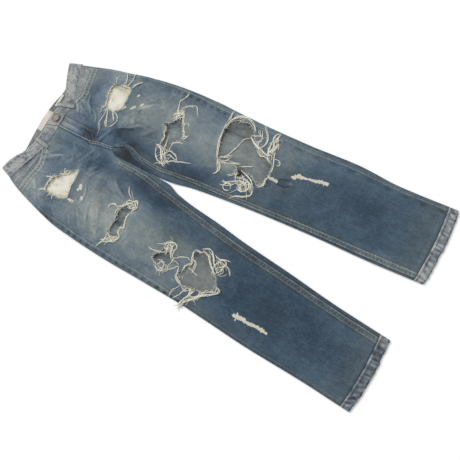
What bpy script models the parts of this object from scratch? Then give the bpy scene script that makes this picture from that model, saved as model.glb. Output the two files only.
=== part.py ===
"""Ripped straight-leg jeans, laid flat on their back with the front up.

+X is the wearer's left, +Y runs up to the waist and +Z up from the surface that they lie on.
The tables are in centimetres: x from the centre front, and how far down from the waist's corners.
Every leg is a flattened tube. The back panel lies on the surface and wraps round both side folds
to the outseam and the inseam, which lie on the front, and the front panel closes it. The back
panel is in three pieces, its flat underside and its turns at the two sides.
"""
from collections import namedtuple
import math

import bmesh
import bpy
from mathutils import Vector

CM = 0.01
MM = 0.001

# Cloth and layers
DENIM = 1.1 * MM            # one wall of denim
SEAM_GAP = 0.3 * MM         # between two pieces that are sewn together
LAYER = DENIM + SEAM_GAP    # what one more layer adds
POCKETING = 1.0 * MM        # the two layers of a front pocket's bag, pressed flat
BAND_WALL = 2.0 * MM        # the waistband is two layers with a turned-in edge
HEM_WALL = 2.2 * MM         # the hem is turned up twice
FOLD_REACH = 2.5 * MM       # half width of the bend at a side fold
HEM_FOLD_REACH = 3.0 * MM
FOLD_UNDER = 1.0            # how far a side's turn runs on underneath

# Heights of the layers above the surface
HIP_BASE = 1.45 * MM        # underside of the seat, which lies on the back pockets
HIP_TOP = 5.4 * MM          # top of the front layer over the hips
LEG_MIDDLE = 2.8 * MM       # top of the front layer down the middle of a leg
LEG_EDGE = 4.8 * MM         # the same, at a leg's side folds
EDGE_WIDTH = 4.0 * CM       # how far the puff of a side fold reaches
HEM_TOP = 5.6 * MM
SEAT_END = 26.0             # down: the seat rests on the pockets to here
SEAT_RAMP = 5.5             # down: and reaches the surface after this much more
BAND_BASE = 1.8 * MM
BAND_TOP = 6.8 * MM

# The fly: the left front laps over the right front
FLY_END = 17.0              # down
FLY_UNDERLAP = 1.8          # how far the right front runs on under the left
FLY_LAP = 2.4               # width of the left front that is raised by it
BAND_UNDERLAP = 2.4

HEM_DEPTH = 2.2
CROTCH = 23.6               # down
KNEE_TO_HEM_TILT = 88.0     # down: the hems' slant starts here

Section = namedtuple("Section", "down outer outseam inseam inner")
RIGHT_LEG = [
    Section(0.0, -16.5, -16.10, 0.05, -0.02),
    Section(6.0, -19.0, -18.60, 0.05, -0.02),
    Section(12.0, -20.7, -20.10, 0.05, -0.02),
    Section(17.0, -21.9, -20.90, 0.10, -0.02),
    Section(20.0, -22.5, -21.20, 0.80, 0.58),
    Section(23.0, -22.85, -21.45, 1.30, 1.18),
    Section(CROTCH, -22.9, -21.50, 1.05, 1.34),
    Section(25.2, -23.0, -21.65, -0.45, 0.08),
    Section(27.0, -23.15, -21.85, -0.65, -0.02),
    Section(34.0, -23.55, -22.15, -0.85, -0.02),
    Section(41.0, -23.7, -22.30, -1.95, -0.20),
    Section(45.0, -23.7, -22.35, -2.65, -1.50),
    Section(50.0, -23.75, -22.50, -3.45, -2.40),
    Section(57.0, -23.8, -22.90, -4.50, -3.20),
    Section(65.0, -24.2, -23.55, -5.60, -4.40),
    Section(77.5, -24.95, -24.30, -6.85, -5.80),
    Section(90.0, -25.2, -24.55, -8.20, -7.35),
    Section(103.0, -25.8, -25.10, -9.30, -8.45),
]
LEFT_LEG = [
    Section(0.0, 16.6, 16.20, 0.05, 0.02),
    Section(6.0, 18.4, 17.90, 0.05, 0.02),
    Section(12.0, 20.1, 19.60, 0.05, 0.02),
    Section(17.0, 21.1, 20.60, 0.10, 0.02),
    Section(20.0, 21.8, 21.30, 0.80, 0.62),
    Section(23.0, 22.35, 21.80, 1.30, 1.22),
    Section(CROTCH, 22.4, 21.85, 1.67, 1.38),
    Section(25.2, 22.7, 22.10, 2.50, 0.12),
    Section(27.0, 22.95, 22.35, 3.25, 0.02),
    Section(32.0, 23.5, 22.80, 1.75, 0.02),
    Section(37.0, 23.75, 22.90, 1.50, 0.02),
    Section(42.0, 23.8, 22.65, 2.05, 0.40),
    Section(47.0, 23.6, 22.45, 2.55, 1.40),
    Section(58.0, 23.3, 22.10, 3.25, 2.70),
    Section(67.5, 23.4, 21.95, 3.98, 3.50),
    Section(80.0, 23.9, 22.50, 4.75, 4.25),
    Section(90.0, 23.35, 22.35, 5.15, 4.60),
    Section(104.2, 23.85, 22.95, 6.00, 5.50),
]

# Each hem's lowest edge: down at the outer corner, the middle and the inner corner
Hem = namedtuple("Hem", "outer middle inner")
RIGHT_HEM = Hem(102.3, 103.1, 103.0)
LEFT_HEM = Hem(103.75, 104.4, 104.0)

# The largest folds of the front: a ridge from one end to the other, height in mm
Fold = namedtuple("Fold", "x1 down1 x2 down2 height width")
FOLDS = [
    Fold(2.6, 24.5, 3.1, 30.5, 3.8, 1.9),
    Fold(-2.5, 25.5, -2.6, 33.0, 2.6, 2.2),
    Fold(-7.0, 21.0, -20.5, 30.0, 1.6, 3.0),
    Fold(7.5, 22.0, 19.5, 28.0, 1.6, 3.0),
    Fold(-12.0, 43.0, -15.0, 53.0, 1.2, 4.0),
    Fold(13.0, 66.0, 12.0, 84.0, 1.4, 4.5),
    Fold(-15.0, 70.0, -16.5, 88.0, 1.4, 4.5),
]

# The waistband: its top edge and its seam, from the right front end round the back
Band = namedtuple("Band", "top_x top_down seam_x seam_down")
BAND_FRONT_RIGHT = [
    Band(BAND_UNDERLAP, 3.75, BAND_UNDERLAP, 7.0),
    Band(-1.0, 3.70, -1.0, 7.1),
    Band(-4.0, 3.60, -4.0, 7.0),
    Band(-6.2, 3.50, -6.2, 6.8),
    Band(-8.3, 3.00, -8.5, 6.1),
    Band(-10.2, 2.10, -10.7, 5.3),
    Band(-12.2, 0.75, -13.0, 4.4),
    Band(-14.4, -0.20, -15.4, 3.6),
]
BAND_RIGHT_CORNER = Band(-16.5, -0.60, -17.7, 3.1)
BAND_BACK = [
    Band(-13.2, 1.00, -13.8, 4.6),
    Band(-10.0, 2.30, -10.2, 5.8),
    Band(-5.0, 1.90, -5.0, 5.4),
    Band(0.0, 1.60, 0.0, 5.0),
    Band(5.0, 1.90, 5.0, 5.4),
    Band(9.0, 2.60, 9.2, 5.9),
    Band(13.0, 1.30, 13.6, 4.8),
]
BAND_LEFT_CORNER = Band(16.6, -0.50, 17.8, 3.0)
BAND_FRONT_LEFT = [
    Band(14.6, 0.30, 15.6, 3.6),
    Band(12.2, 1.50, 13.2, 4.5),
    Band(10.0, 2.60, 11.0, 5.4),
    Band(8.3, 3.70, 9.0, 6.3),
    Band(7.0, 4.30, 7.2, 6.9),
    Band(4.6, 3.75, 4.7, 7.0),
    Band(2.6, 3.60, 2.8, 7.1),
    Band(-1.0, 3.80, 0.15, 7.2),
]

# Where a front pocket is cut into the front panel, from the side seam to the waistband
RIGHT_SCOOP = [(-19.65, 6.95), (-16.0, 7.0), (-13.0, 7.6), (-10.5, 7.8), (-8.6, 7.25), (-7.75, 6.75)]
LEFT_SCOOP = [(18.4, 6.35), (15.5, 6.85), (13.0, 7.4), (10.5, 7.95), (8.75, 7.6), (7.6, 7.1)]
FACING_INNER = 9.0          # a facing's inner end, from the centre
FACING_DEPTH = 10.9
BAG_OUTER = 18.6
BAG_INNER = 6.5
BAG_TOP = 6.7
BAG_DEPTH = 23.2
COIN_POCKET = [(-16.25, 5.75), (-13.0, 6.3), (-10.0, 6.75), (-9.2, 6.85), (-9.2, 10.8), (-15.9, 10.8)]

# Waist fittings
LOOP_WIDTH = 1.2
LOOP_LENGTH = 5.0
LOOP_ARCH = 1.0 * MM
FRONT_LOOPS = [
    ("belt_loop_front_right", (-5.5, 3.4), (-6.1, 7.7)),
    ("belt_loop_front_left", (5.0, 3.1), (6.5, 7.9)),
]
BACK_LOOPS = [
    ("belt_loop_back_right", -11.0, 2.2),
    ("belt_loop_back_centre", 0.0, 1.5),
    ("belt_loop_back_left", 11.0, 2.1),
]
LABEL_WALL = 1.0 * MM
LABEL_MAIN = [(-3.25, 1.85), (0.0, 1.7), (2.75, 1.8), (2.75, 3.45), (-3.25, 3.4)]
LABEL_SMALL = [(4.4, 2.6), (8.1, 2.65), (8.1, 3.35), (4.4, 3.4)]
BUTTON_PLACE = (1.6, 5.3)
BUTTON_RADIUS = 8.5 * MM
BUTTON_HEIGHT = 2.2 * MM

# Yoke seam on the back, from the side to the centre
YOKE_SIDE = 8.0
YOKE_CENTRE = 11.0
BACK_POCKET = [(6.0, 9.6), (17.0, 9.0), (16.6, 19.6), (11.6, 22.8), (6.8, 19.8)]

# The rips, as (x, down) round each hole
RIPS_RIGHT = {
    "hip": [(-16.0, 13.5), (-14.5, 13.25), (-12.5, 13.5), (-11.25, 14.75), (-10.0, 15.0),
            (-9.0, 16.5), (-7.6, 18.75), (-10.0, 19.0), (-12.5, 19.25), (-15.0, 19.9),
            (-15.75, 18.5), (-16.25, 16.0)],
    "thigh": [(-17.5, 34.0), (-14.5, 34.0), (-11.5, 33.4), (-10.0, 34.5), (-8.0, 36.5),
              (-10.0, 37.0), (-12.5, 36.7), (-15.0, 36.7), (-17.5, 37.0), (-18.5, 35.5)],
    "above_knee": [(-18.5, 48.2), (-17.0, 47.25), (-15.5, 47.8), (-15.8, 49.3), (-17.6, 49.5)],
    "knee": [(-19.75, 55.75), (-19.0, 54.9), (-16.0, 55.0), (-14.0, 55.5), (-11.5, 56.0),
             (-11.0, 57.5), (-10.0, 59.0), (-12.5, 61.0), (-14.5, 63.25), (-16.5, 64.25),
             (-18.5, 64.5), (-18.75, 62.0), (-19.5, 60.0), (-19.9, 57.5)],
}
RIPS_LEFT = {
    "hip": [(10.25, 15.25), (12.0, 15.0), (14.5, 14.25), (16.5, 14.5), (17.0, 16.0), (17.4, 18.5),
            (17.0, 19.5), (14.0, 19.75), (11.5, 19.9), (10.25, 19.0), (9.9, 17.0)],
    "thigh": [(7.5, 34.0), (10.5, 33.75), (12.5, 32.75), (14.5, 33.75), (18.0, 34.0), (16.0, 36.25),
              (14.5, 37.25), (12.0, 38.25), (10.0, 38.0), (8.0, 37.25), (6.5, 37.0)],
    "knee": [(11.0, 48.5), (14.0, 47.0), (17.5, 46.75), (20.3, 47.2), (21.6, 48.5), (21.8, 50.4),
             (21.3, 52.3), (19.8, 54.1), (17.75, 56.0), (17.0, 58.5), (16.5, 61.0), (13.0, 62.0),
             (10.5, 62.0), (8.5, 60.75), (10.25, 57.5), (9.0, 54.75), (11.0, 52.5), (10.2, 50.5)],
}

FRAY_WALL = 1.0 * MM
# Reach of the frayed threads that lie on the cloth beside the larger rips
Fray = namedtuple("Fray", "side x1 x2 down1 down2")
FRAYS = {
    "fray_thigh_right_outer": Fray("right", -21.6, -17.2, 33.4, 36.9),
    "fray_thigh_right_inner": Fray("right", -11.3, -7.6, 32.6, 36.9),
    "fray_knee_right_outer": Fray("right", -22.4, -17.4, 56.2, 65.2),
    "fray_knee_right_inner": Fray("right", -14.2, -9.9, 57.6, 65.2),
    "fray_thigh_left_inner": Fray("left", 3.6, 7.5, 33.6, 39.6),
    "fray_thigh_left_outer": Fray("left", 15.2, 19.3, 33.2, 38.2),
    "fray_knee_left_inner": Fray("left", 5.2, 10.2, 50.0, 60.4),
    "fray_knee_left_outer": Fray("left", 17.0, 21.4, 53.2, 60.6),
}

# The grid of every panel: stations down the legs, and places across a front
STATIONS = [2.0, 5.0, 8.0, 11.0, 14.0, FLY_END, 20.0, 23.0, CROTCH, 25.2, 27.0, 29.5, 32.0, 34.5, 38.0, 41.0,
            45.0, 50.0, 55.0, 60.0, 65.0, 70.0, 77.0, 84.0, 91.0, 97.0]
FRONT_PLACES = [0.0, 0.07, 0.18, 0.30, 0.42, 0.54, 0.66, 0.78, 0.885, 1.0]
BACK_PLACES = 6
BEND_STEPS = 4

LEGS = {"right": RIGHT_LEG, "left": LEFT_LEG}
HEMS = {"right": RIGHT_HEM, "left": LEFT_HEM}
OUTWARD = {"right": -1.0, "left": 1.0}
FACING_LAYERS = {"right": 2, "left": 1}     # the right facing also carries the coin pocket

COLOURS = {
    "thigh": (0.19, 0.23, 0.26),
    "seat": (0.13, 0.17, 0.22),
    "band": (0.27, 0.30, 0.32),
    "pocketing": (0.72, 0.70, 0.60),
    "label": (0.80, 0.76, 0.70),
    "thread": (0.62, 0.58, 0.50),
    "copper": (0.42, 0.28, 0.18),
}


# ---------------------------------------------------------------- reading the tables

def blend(a, b, share):
    return a + (b - a) * share


def ease(value):
    value = min(1.0, max(0.0, value))
    return value * value * (3.0 - 2.0 * value)


def section(side, down):
    """The leg's section at this height, between the rows of its table."""
    rows = LEGS[side]
    for low, high in zip(rows, rows[1:]):
        if down <= high.down:
            break
    share = (down - low.down) / (high.down - low.down)
    return Section(*[blend(a, b, share) for a, b in zip(low, high)])


def hem_edge(side, share):
    """How far down the hem's edge is, from the outer corner (0) to the inner corner (1)."""
    hem = HEMS[side]
    bow = hem.middle - 0.5 * (hem.outer + hem.inner)
    return blend(hem.outer, hem.inner, share) + 4.0 * bow * share * (1.0 - share)


def lowered(side, down, share):
    """A station's down, with the hem's slant carried up the lower leg."""
    weight = ease((down - KNEE_TO_HEM_TILT) / (HEMS[side].middle - HEM_DEPTH - KNEE_TO_HEM_TILT))
    return down + weight * (hem_edge(side, share) - HEMS[side].middle)


# ---------------------------------------------------------------- heights of the layers

def base_height(down):
    """Underside of the back layer."""
    return HIP_BASE * (1.0 - ease((down - SEAT_END) / SEAT_RAMP))


def fold_height(x, down, fold):
    """A soft ridge along a line, which dies out at its ends."""
    along = Vector((fold.x2 - fold.x1, fold.down2 - fold.down1))
    place = Vector((x - fold.x1, down - fold.down1))
    share = min(1.0, max(0.0, place.dot(along) / along.length_squared))
    distance = (place - along * share).length
    return fold.height * MM * math.exp(-(distance / fold.width) ** 2)


def front_height(side, x, down):
    """Top of the front layer."""
    here = section(side, down)
    edge = min(abs(x - here.outer), abs(x - here.inner)) if down > CROTCH else EDGE_WIDTH / CM
    puff = math.exp(-(edge * CM / EDGE_WIDTH) ** 2 * 3.0)
    leg = blend(LEG_MIDDLE, LEG_EDGE, puff)
    near_hem = ease((down - KNEE_TO_HEM_TILT) / (HEMS[side].middle - HEM_DEPTH - KNEE_TO_HEM_TILT))
    leg = blend(leg, HEM_TOP - 0.5 * (HEM_WALL - DENIM), near_hem)
    height = blend(HIP_TOP, leg, ease((down - SEAT_END) / SEAT_RAMP))
    return height + sum(fold_height(x, down, fold) for fold in FOLDS)


def pocket_lift(side, x, down):
    """What the facing, and the coin pocket on it, lift the front panel by."""
    across = ease((abs(x) - 7.0) / 1.4)
    along = 1.0 - max(0.0, min(1.0, (down - 11.0) / 6.0))
    return FACING_LAYERS[side] * LAYER * across * along


def fly_lift(x, down, centre):
    """What the right front's underlap lifts the left front by."""
    across = 1.0 - ease((x - centre - FLY_LAP) / FLY_LAP)
    along = 1.0 - max(0.0, min(1.0, (down - FLY_END) / 3.0))
    return LAYER * across * along


# ---------------------------------------------------------------- making meshes

def material(name, colour, roughness=0.9, metallic=0.0):
    new = bpy.data.materials.new(name)
    new.use_nodes = True
    shader = new.node_tree.nodes["Principled BSDF"]
    shader.inputs["Base Color"].default_value = (*colour, 1.0)
    shader.inputs["Roughness"].default_value = roughness
    shader.inputs["Metallic"].default_value = metallic
    return new


def add_object(name, mesh, colour="thigh", roughness=0.9, metallic=0.0):
    piece = bpy.data.objects.new(name, mesh)
    garment.objects.link(piece)
    piece.data.materials.append(material(name, COLOURS[colour], roughness, metallic))
    piece.parent = layout
    return piece


def loft(name, rows, colour="thigh", wall=DENIM, keep=None, closed=False, turned=False):
    """A cloth wall on a grid of points, which are its outer side. keep() drops cells, and turned
    is for a grid whose rows run the other way round."""
    count = len(rows[0])
    points = [point for row in rows for point in row]
    faces = []
    for i in range(len(rows) - 1):
        for j in range(count if closed else count - 1):
            if keep is None or keep(i, j):
                k = (j + 1) % count
                face = (i * count + j, i * count + k, (i + 1) * count + k, (i + 1) * count + j)
                faces.append(face[::-1] if turned else face)
    used = sorted({index for face in faces for index in face})
    number = {index: place for place, index in enumerate(used)}
    mesh = bpy.data.meshes.new(name)
    mesh.from_pydata([points[i] for i in used], [], [[number[i] for i in face] for face in faces])
    piece = add_object(name, mesh, colour)
    solidify = piece.modifiers.new("wall", "SOLIDIFY")
    solidify.thickness = wall
    solidify.offset = -1.0
    solidify.use_even_offset = True
    return piece


def prism(name, outline, low=-20 * MM, high=40 * MM):
    """A cutter: an outline in (x, down), run straight up through all layers."""
    curve = bpy.data.curves.new(name, "CURVE")
    curve.dimensions = "2D"
    curve.fill_mode = "BOTH"
    curve.extrude = 0.5 * (high - low)
    spline = curve.splines.new("POLY")
    spline.points.add(len(outline) - 1)
    for point, (x, down) in zip(spline.points, outline):
        point.co = (x * CM, -down * CM, 0.0, 1.0)
    spline.use_cyclic_u = True
    drawn = bpy.data.objects.new(name, curve)
    cutters.objects.link(drawn)
    bpy.context.view_layer.update()
    mesh = bpy.data.meshes.new_from_object(drawn.evaluated_get(bpy.context.evaluated_depsgraph_get()))
    bpy.data.objects.remove(drawn)
    weld(mesh)
    cutter = bpy.data.objects.new(name, mesh)
    cutter.location.z = 0.5 * (low + high)
    cutter.hide_render = True
    cutter.display_type = "WIRE"
    cutter.parent = layout
    cutters.objects.link(cutter)
    return cutter


def weld(mesh):
    work = bmesh.new()
    work.from_mesh(mesh)
    bmesh.ops.remove_doubles(work, verts=work.verts, dist=0.01 * MM)
    bmesh.ops.recalc_face_normals(work, faces=work.faces)
    work.to_mesh(mesh)
    work.free()


def cut(piece, outline, operation="DIFFERENCE"):
    boolean = piece.modifiers.new(operation.lower(), "BOOLEAN")
    boolean.operation = operation
    boolean.solver = "EXACT"
    boolean.object = prism("cutter_" + piece.name, outline)
    return piece


def plate(name, outline, low, high, colour):
    """A flat piece: its outline in (x, down), between two heights."""
    piece = prism(name, outline, low, high)
    cutters.objects.unlink(piece)
    garment.objects.link(piece)
    piece.hide_render = False
    piece.display_type = "TEXTURED"
    piece.data.materials.append(material(name, COLOURS[colour]))
    return piece


# ---------------------------------------------------------------- the legs' grids

def stations_of(side):
    """Every station of a leg, down to where its hem begins."""
    return STATIONS + [HEMS[side].middle - HEM_DEPTH - SEAM_GAP / CM]


def place_point(side, x, station, height):
    """A point of the garment at x on this station, with the hem's slant."""
    here = section(side, station)
    share = (x - here.outer) / (here.inner - here.outer)
    return (x * CM, -lowered(side, station, min(1.0, max(0.0, share))) * CM, height)


def front_grid(side, lift=None, rows=None, places=FRONT_PLACES):
    """Points on the top of the front layer, from the outseam in. lift(x, down, centre) adds height."""
    half_gap = OUTWARD[side] * 0.5 * SEAM_GAP / CM
    grid = []
    for station in rows or stations_of(side):
        here = section(side, station)
        outer, inner = here.outseam - half_gap, here.inseam + half_gap
        line = [blend(outer, inner, place) for place in places]
        if side == "right" and places[-1] == 1.0:
            line.append(here.inseam + FLY_UNDERLAP)
        added = [lift(x, station, here.inseam) if lift else 0.0 for x in line]
        grid.append([place_point(side, x, station, front_height(side, x, station) + more)
                     for x, more in zip(line, added)])
    return grid


def bend(x, reach, base, top, start, end):
    """A half round bend, seen along the leg: reach is signed, angles are in degrees."""
    middle, half = 0.5 * (base + top), 0.5 * (top - base)
    for step in range(BEND_STEPS + 1):
        angle = math.radians(blend(start, end, step / BEND_STEPS))
        yield x + reach * math.cos(angle), middle + half * math.sin(angle)


def outer_fold_line(side, station, base, top_of):
    """The back panel's turn at the outer side: (x, height) from the outseam down to the underside."""
    here = section(side, station)
    outward = OUTWARD[side]
    outer = here.outer - outward * FOLD_REACH / CM
    line = [(here.outseam + outward * 0.5 * SEAM_GAP / CM, top_of(here.outseam))]
    line += list(bend(outer, outward * FOLD_REACH / CM, base, top_of(outer), 90.0, -90.0))
    return line + [(outer - outward * FOLD_UNDER, base)]


def inner_fold_line(side, station, base, top_of):
    """The same at the inner side, from the underside up to the inseam."""
    here = section(side, station)
    outward = OUTWARD[side]
    inner = here.inner + outward * FOLD_REACH / CM
    line = [(inner + outward * FOLD_UNDER, base)]
    line += list(bend(inner, -outward * FOLD_REACH / CM, base, top_of(inner), -90.0, 90.0))
    return line + [(here.inseam - outward * 0.5 * SEAM_GAP / CM, top_of(here.inseam))]


def underside_line(side, station, base, seat):
    """The flat underside between the two turns, or as far as the centre back seam on the seat."""
    here = section(side, station)
    outward = OUTWARD[side]
    turn = outward * (FOLD_REACH / CM + FOLD_UNDER + SEAM_GAP / CM)
    outer = here.outer - turn
    inner = here.inner + (outward * 0.5 * SEAM_GAP / CM if seat else turn)
    return [(blend(outer, inner, step / BACK_PLACES), base) for step in range(BACK_PLACES + 1)]


def back_grid(side, rows, line_of):
    grid = []
    for station in rows:
        line = line_of(side, station, base_height(station))
        grid.append([place_point(side, x, station, height) for x, height in line])
    return grid


def outline_below(band_rows, gap=0.05):
    """The waistband's seam as an outline's points, a gap below it."""
    return [(row.seam_x, row.seam_down + gap) for row in band_rows]


# ---------------------------------------------------------------- the pieces

def make_front(side):
    """A front panel, trimmed along the pocket's scoop and the waistband, with its rips cut out."""
    def lift(x, down, centre):
        extra = fly_lift(x, down, centre) if side == "left" else 0.0
        return pocket_lift(side, x, down) + extra

    rows = stations_of(side)
    last = len(FRONT_PLACES) - 1

    def keep(i, j):
        return j < last or rows[i + 1] <= FLY_END

    piece = loft("front_" + side, front_grid(side, lift), keep=keep, turned=side == "right")
    trim_front(piece, side)
    for rip in (RIPS_RIGHT if side == "right" else RIPS_LEFT).values():
        cut(piece, rip)


def trim_front(piece, side):
    outward = OUTWARD[side]
    far = 30.0
    if side == "right":
        scoop = RIGHT_SCOOP
        seam = outline_below(reversed(BAND_FRONT_RIGHT[:4]))
        end = BAND_UNDERLAP + 0.4
    else:
        scoop = LEFT_SCOOP
        seam = outline_below(BAND_FRONT_LEFT[4:])
        end = -1.5
    side_point = (outward * far, scoop[0][1])
    cut(piece, [(outward * far, -5.0), side_point] + scoop + seam + [(end, seam[-1][1]), (end, -5.0)])


def facing_outline(side):
    outward = OUTWARD[side]
    corner = BAND_RIGHT_CORNER if side == "right" else BAND_LEFT_CORNER
    front = list(reversed(BAND_FRONT_RIGHT)) if side == "right" else BAND_FRONT_LEFT
    seam = [(outward * 30.0, corner.seam_down + 0.05)] + outline_below([corner] + front[:3])
    inner = outward * FACING_INNER
    before, after = front[2], front[3]
    share = (inner - before.seam_x) / (after.seam_x - before.seam_x)
    seam.append((inner, blend(before.seam_down, after.seam_down, share) + 0.05))
    return seam + [(inner, FACING_DEPTH), (outward * 30.0, FACING_DEPTH)]


def make_pocket(side):
    """The facing under the scoop, the bag behind it, and the coin pocket on the right facing."""
    rows = [2.0, 5.0, 8.0, 11.0]
    places = FRONT_PLACES[:7]
    turned = side == "right"
    facing = loft("pocket_facing_" + side, front_grid(side, rows=rows, places=places), "band",
                  turned=turned)
    cut(facing, facing_outline(side), "INTERSECT")
    outward = OUTWARD[side]
    bag = loft("pocket_bag_" + side, front_grid(side, lambda x, down, centre: -LAYER,
                                                rows=[5.0, 8.0, 11.0, 14.0, FLY_END, 20.0, 23.0, CROTCH],
                                                places=FRONT_PLACES[:-1]), "pocketing", POCKETING,
               turned=turned)
    bag_outline = [(outward * BAG_INNER, BAG_TOP), (outward * (BAG_OUTER - 1.5), BAG_TOP),
                   (outward * BAG_OUTER, 12.0), (outward * BAG_OUTER, BAG_DEPTH - 1.5),
                   (outward * (BAG_OUTER - 1.5), BAG_DEPTH), (outward * (BAG_INNER + 1.5), BAG_DEPTH),
                   (outward * BAG_INNER, BAG_DEPTH - 1.5)]
    cut(bag, bag_outline, "INTERSECT")
    if side == "right":
        coin = loft("coin_pocket", front_grid(side, lambda x, down, centre: LAYER, rows, places), "band",
                    turned=turned)
        cut(coin, COIN_POCKET, "INTERSECT")


def make_back(side):
    """The yoke, and the back panel below it: its flat underside and its turns at the two sides."""
    outward = OUTWARD[side]
    rows = stations_of(side)

    def fold_line(leg_side, station, base):
        return outer_fold_line(leg_side, station, base, lambda x: front_height(leg_side, x, station))

    def inner_line(leg_side, station, base):
        return inner_fold_line(leg_side, station, base, lambda x: front_height(leg_side, x, station))

    def flat_line(leg_side, station, base):
        return underside_line(leg_side, station, base, station < CROTCH)

    def yoke_line(leg_side, station, base):
        return fold_line(leg_side, station, base) + flat_line(leg_side, station, base)

    turned = side == "left"
    flat = loft("back_" + side, back_grid(side, rows[2:], flat_line), "seat", turned=turned)
    outer = loft("back_" + side + "_outer_turn", back_grid(side, rows[2:], fold_line), "seat",
                 turned=turned)
    leg_rows = [row for row in rows if row >= CROTCH]
    inner = back_grid(side, leg_rows, inner_line)
    loft("back_" + side + "_inner_turn", inner, "seat", turned=turned)
    yoke = loft("yoke_" + side, back_grid(side, rows[:5], yoke_line), "seat", turned=turned)
    gap = 0.5 * SEAM_GAP / CM
    middle = -outward * 2.5
    for piece in (flat, outer):
        cut(piece, [(outward * 30.0, -5.0), (outward * 30.0, YOKE_SIDE + gap),
                    (outward * 19.0, YOKE_SIDE + gap), (middle, YOKE_CENTRE + gap), (middle, -5.0)])
    half = BAND_BACK[:4] if side == "right" else list(reversed(BAND_BACK[3:]))
    corner = BAND_RIGHT_CORNER if side == "right" else BAND_LEFT_CORNER
    seam = [(outward * 30.0, corner.seam_down + 0.05)] + outline_below([corner] + half)
    seam.append((middle, seam[-1][1]))
    cut(yoke, seam + [(middle, YOKE_CENTRE - gap), (outward * 19.0, YOKE_SIDE - gap),
                      (outward * 30.0, YOKE_SIDE - gap)], "INTERSECT")


def make_back_pocket(side):
    outline = [(OUTWARD[side] * x, down) for x, down in BACK_POCKET]
    plate("back_pocket_" + side, outline, 0.0, DENIM, "seat")


def make_hem(side):
    """The turned-up end of a leg, a closed ring."""
    start = HEMS[side].middle - HEM_DEPTH
    reach = HEM_FOLD_REACH / CM
    grid = []
    for station in (start, start + 0.5 * HEM_DEPTH, HEMS[side].middle):
        here = section(side, station)
        outward = OUTWARD[side]
        outer, inner = here.outer - outward * reach, here.inner + outward * reach
        line = list(bend(outer, outward * reach, 0.0, HEM_TOP, 90.0, -90.0))
        line += [(blend(outer, inner, step / BACK_PLACES), 0.0) for step in range(1, BACK_PLACES)]
        line += list(bend(inner, -outward * reach, 0.0, HEM_TOP, -90.0, 90.0))
        line += [(blend(inner, outer, step / BACK_PLACES), HEM_TOP) for step in range(1, BACK_PLACES)]
        grid.append([place_point(side, x, station, height) for x, height in line])
    loft("hem_" + side, grid, "band", HEM_WALL, closed=True, turned=side == "left")


def band_row(row, height, shift=0.0):
    """The waistband's outer side at one place: its top edge, its middle and its seam."""
    points = []
    for share in (0.0, 0.5, 1.0):
        x = blend(row.top_x, row.seam_x, share) + shift
        down = blend(row.top_down, row.seam_down, share)
        points.append((x * CM, -down * CM, height))
    return points


def make_waistband():
    """One strip, from the right front end round the back to the left end, which laps over it."""
    reach = FOLD_REACH / CM
    rows = [band_row(row, BAND_TOP) for row in BAND_FRONT_RIGHT]
    for shift, height in bend(0.0, reach, BAND_BASE, BAND_TOP, 90.0, -90.0):
        rows.append(band_row(BAND_RIGHT_CORNER, height, reach - shift))
    rows += [band_row(row, BAND_BASE) for row in BAND_BACK]
    for shift, height in bend(0.0, reach, BAND_BASE, BAND_TOP, -90.0, 90.0):
        rows.append(band_row(BAND_LEFT_CORNER, height, shift - reach))
    lap = BAND_WALL + SEAM_GAP
    for row in BAND_FRONT_LEFT:
        rows.append(band_row(row, BAND_TOP + (lap if row.seam_x < BAND_UNDERLAP + 1.0 else 0.0)))
    loft("waistband", rows, "band", BAND_WALL, turned=True)


def make_belt_loop(name, top, bottom, width):
    """A front loop, a strap that arches over the waistband: (x, down) of its two ends."""
    rows = []
    steps = 6
    for step in range(steps + 1):
        share = step / steps
        x = blend(top[0], bottom[0], share)
        down = blend(top[1], bottom[1], share)
        height = BAND_TOP + LAYER + LOOP_ARCH * math.sin(math.pi * share)
        rows.append([((x + 0.5 * width * end) * CM, -down * CM, height) for end in (1.0, -1.0)])
    loft(name, rows, "band")


def make_waist_fittings():
    make_waistband()
    for name, top, bottom in FRONT_LOOPS:
        make_belt_loop(name, top, bottom, LOOP_WIDTH)
    for name, x, down in BACK_LOOPS:
        half = 0.5 * LOOP_WIDTH
        outline = [(x - half, down), (x + half, down), (x + half, down + LOOP_LENGTH),
                   (x - half, down + LOOP_LENGTH)]
        plate(name, outline, 0.0, DENIM, "band")
    low = BAND_BASE + BAND_WALL + SEAM_GAP
    plate("label_main", LABEL_MAIN, low, low + LABEL_WALL, "label")
    plate("label_small", LABEL_SMALL, low, low + LABEL_WALL, "label")


def make_button():
    """The waist button, a flat head with a rounded rim on the lapped end of the waistband."""
    bottom = BAND_TOP + BAND_WALL + 2.0 * SEAM_GAP
    bpy.ops.mesh.primitive_cylinder_add(
        vertices=24, radius=BUTTON_RADIUS, depth=BUTTON_HEIGHT,
        location=(BUTTON_PLACE[0] * CM, -BUTTON_PLACE[1] * CM, bottom + 0.5 * BUTTON_HEIGHT))
    button = bpy.context.object
    button.name = "waist_button"
    button.data.name = "waist_button"
    for collection in list(button.users_collection):
        collection.objects.unlink(button)
    garment.objects.link(button)
    button.data.materials.append(material("waist_button", COLOURS["copper"], 0.45, 1.0))
    button.parent = layout
    rim = button.modifiers.new("rim", "BEVEL")
    rim.width = 0.5 * MM
    rim.segments = 2
    rim.limit_method = "ANGLE"


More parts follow.
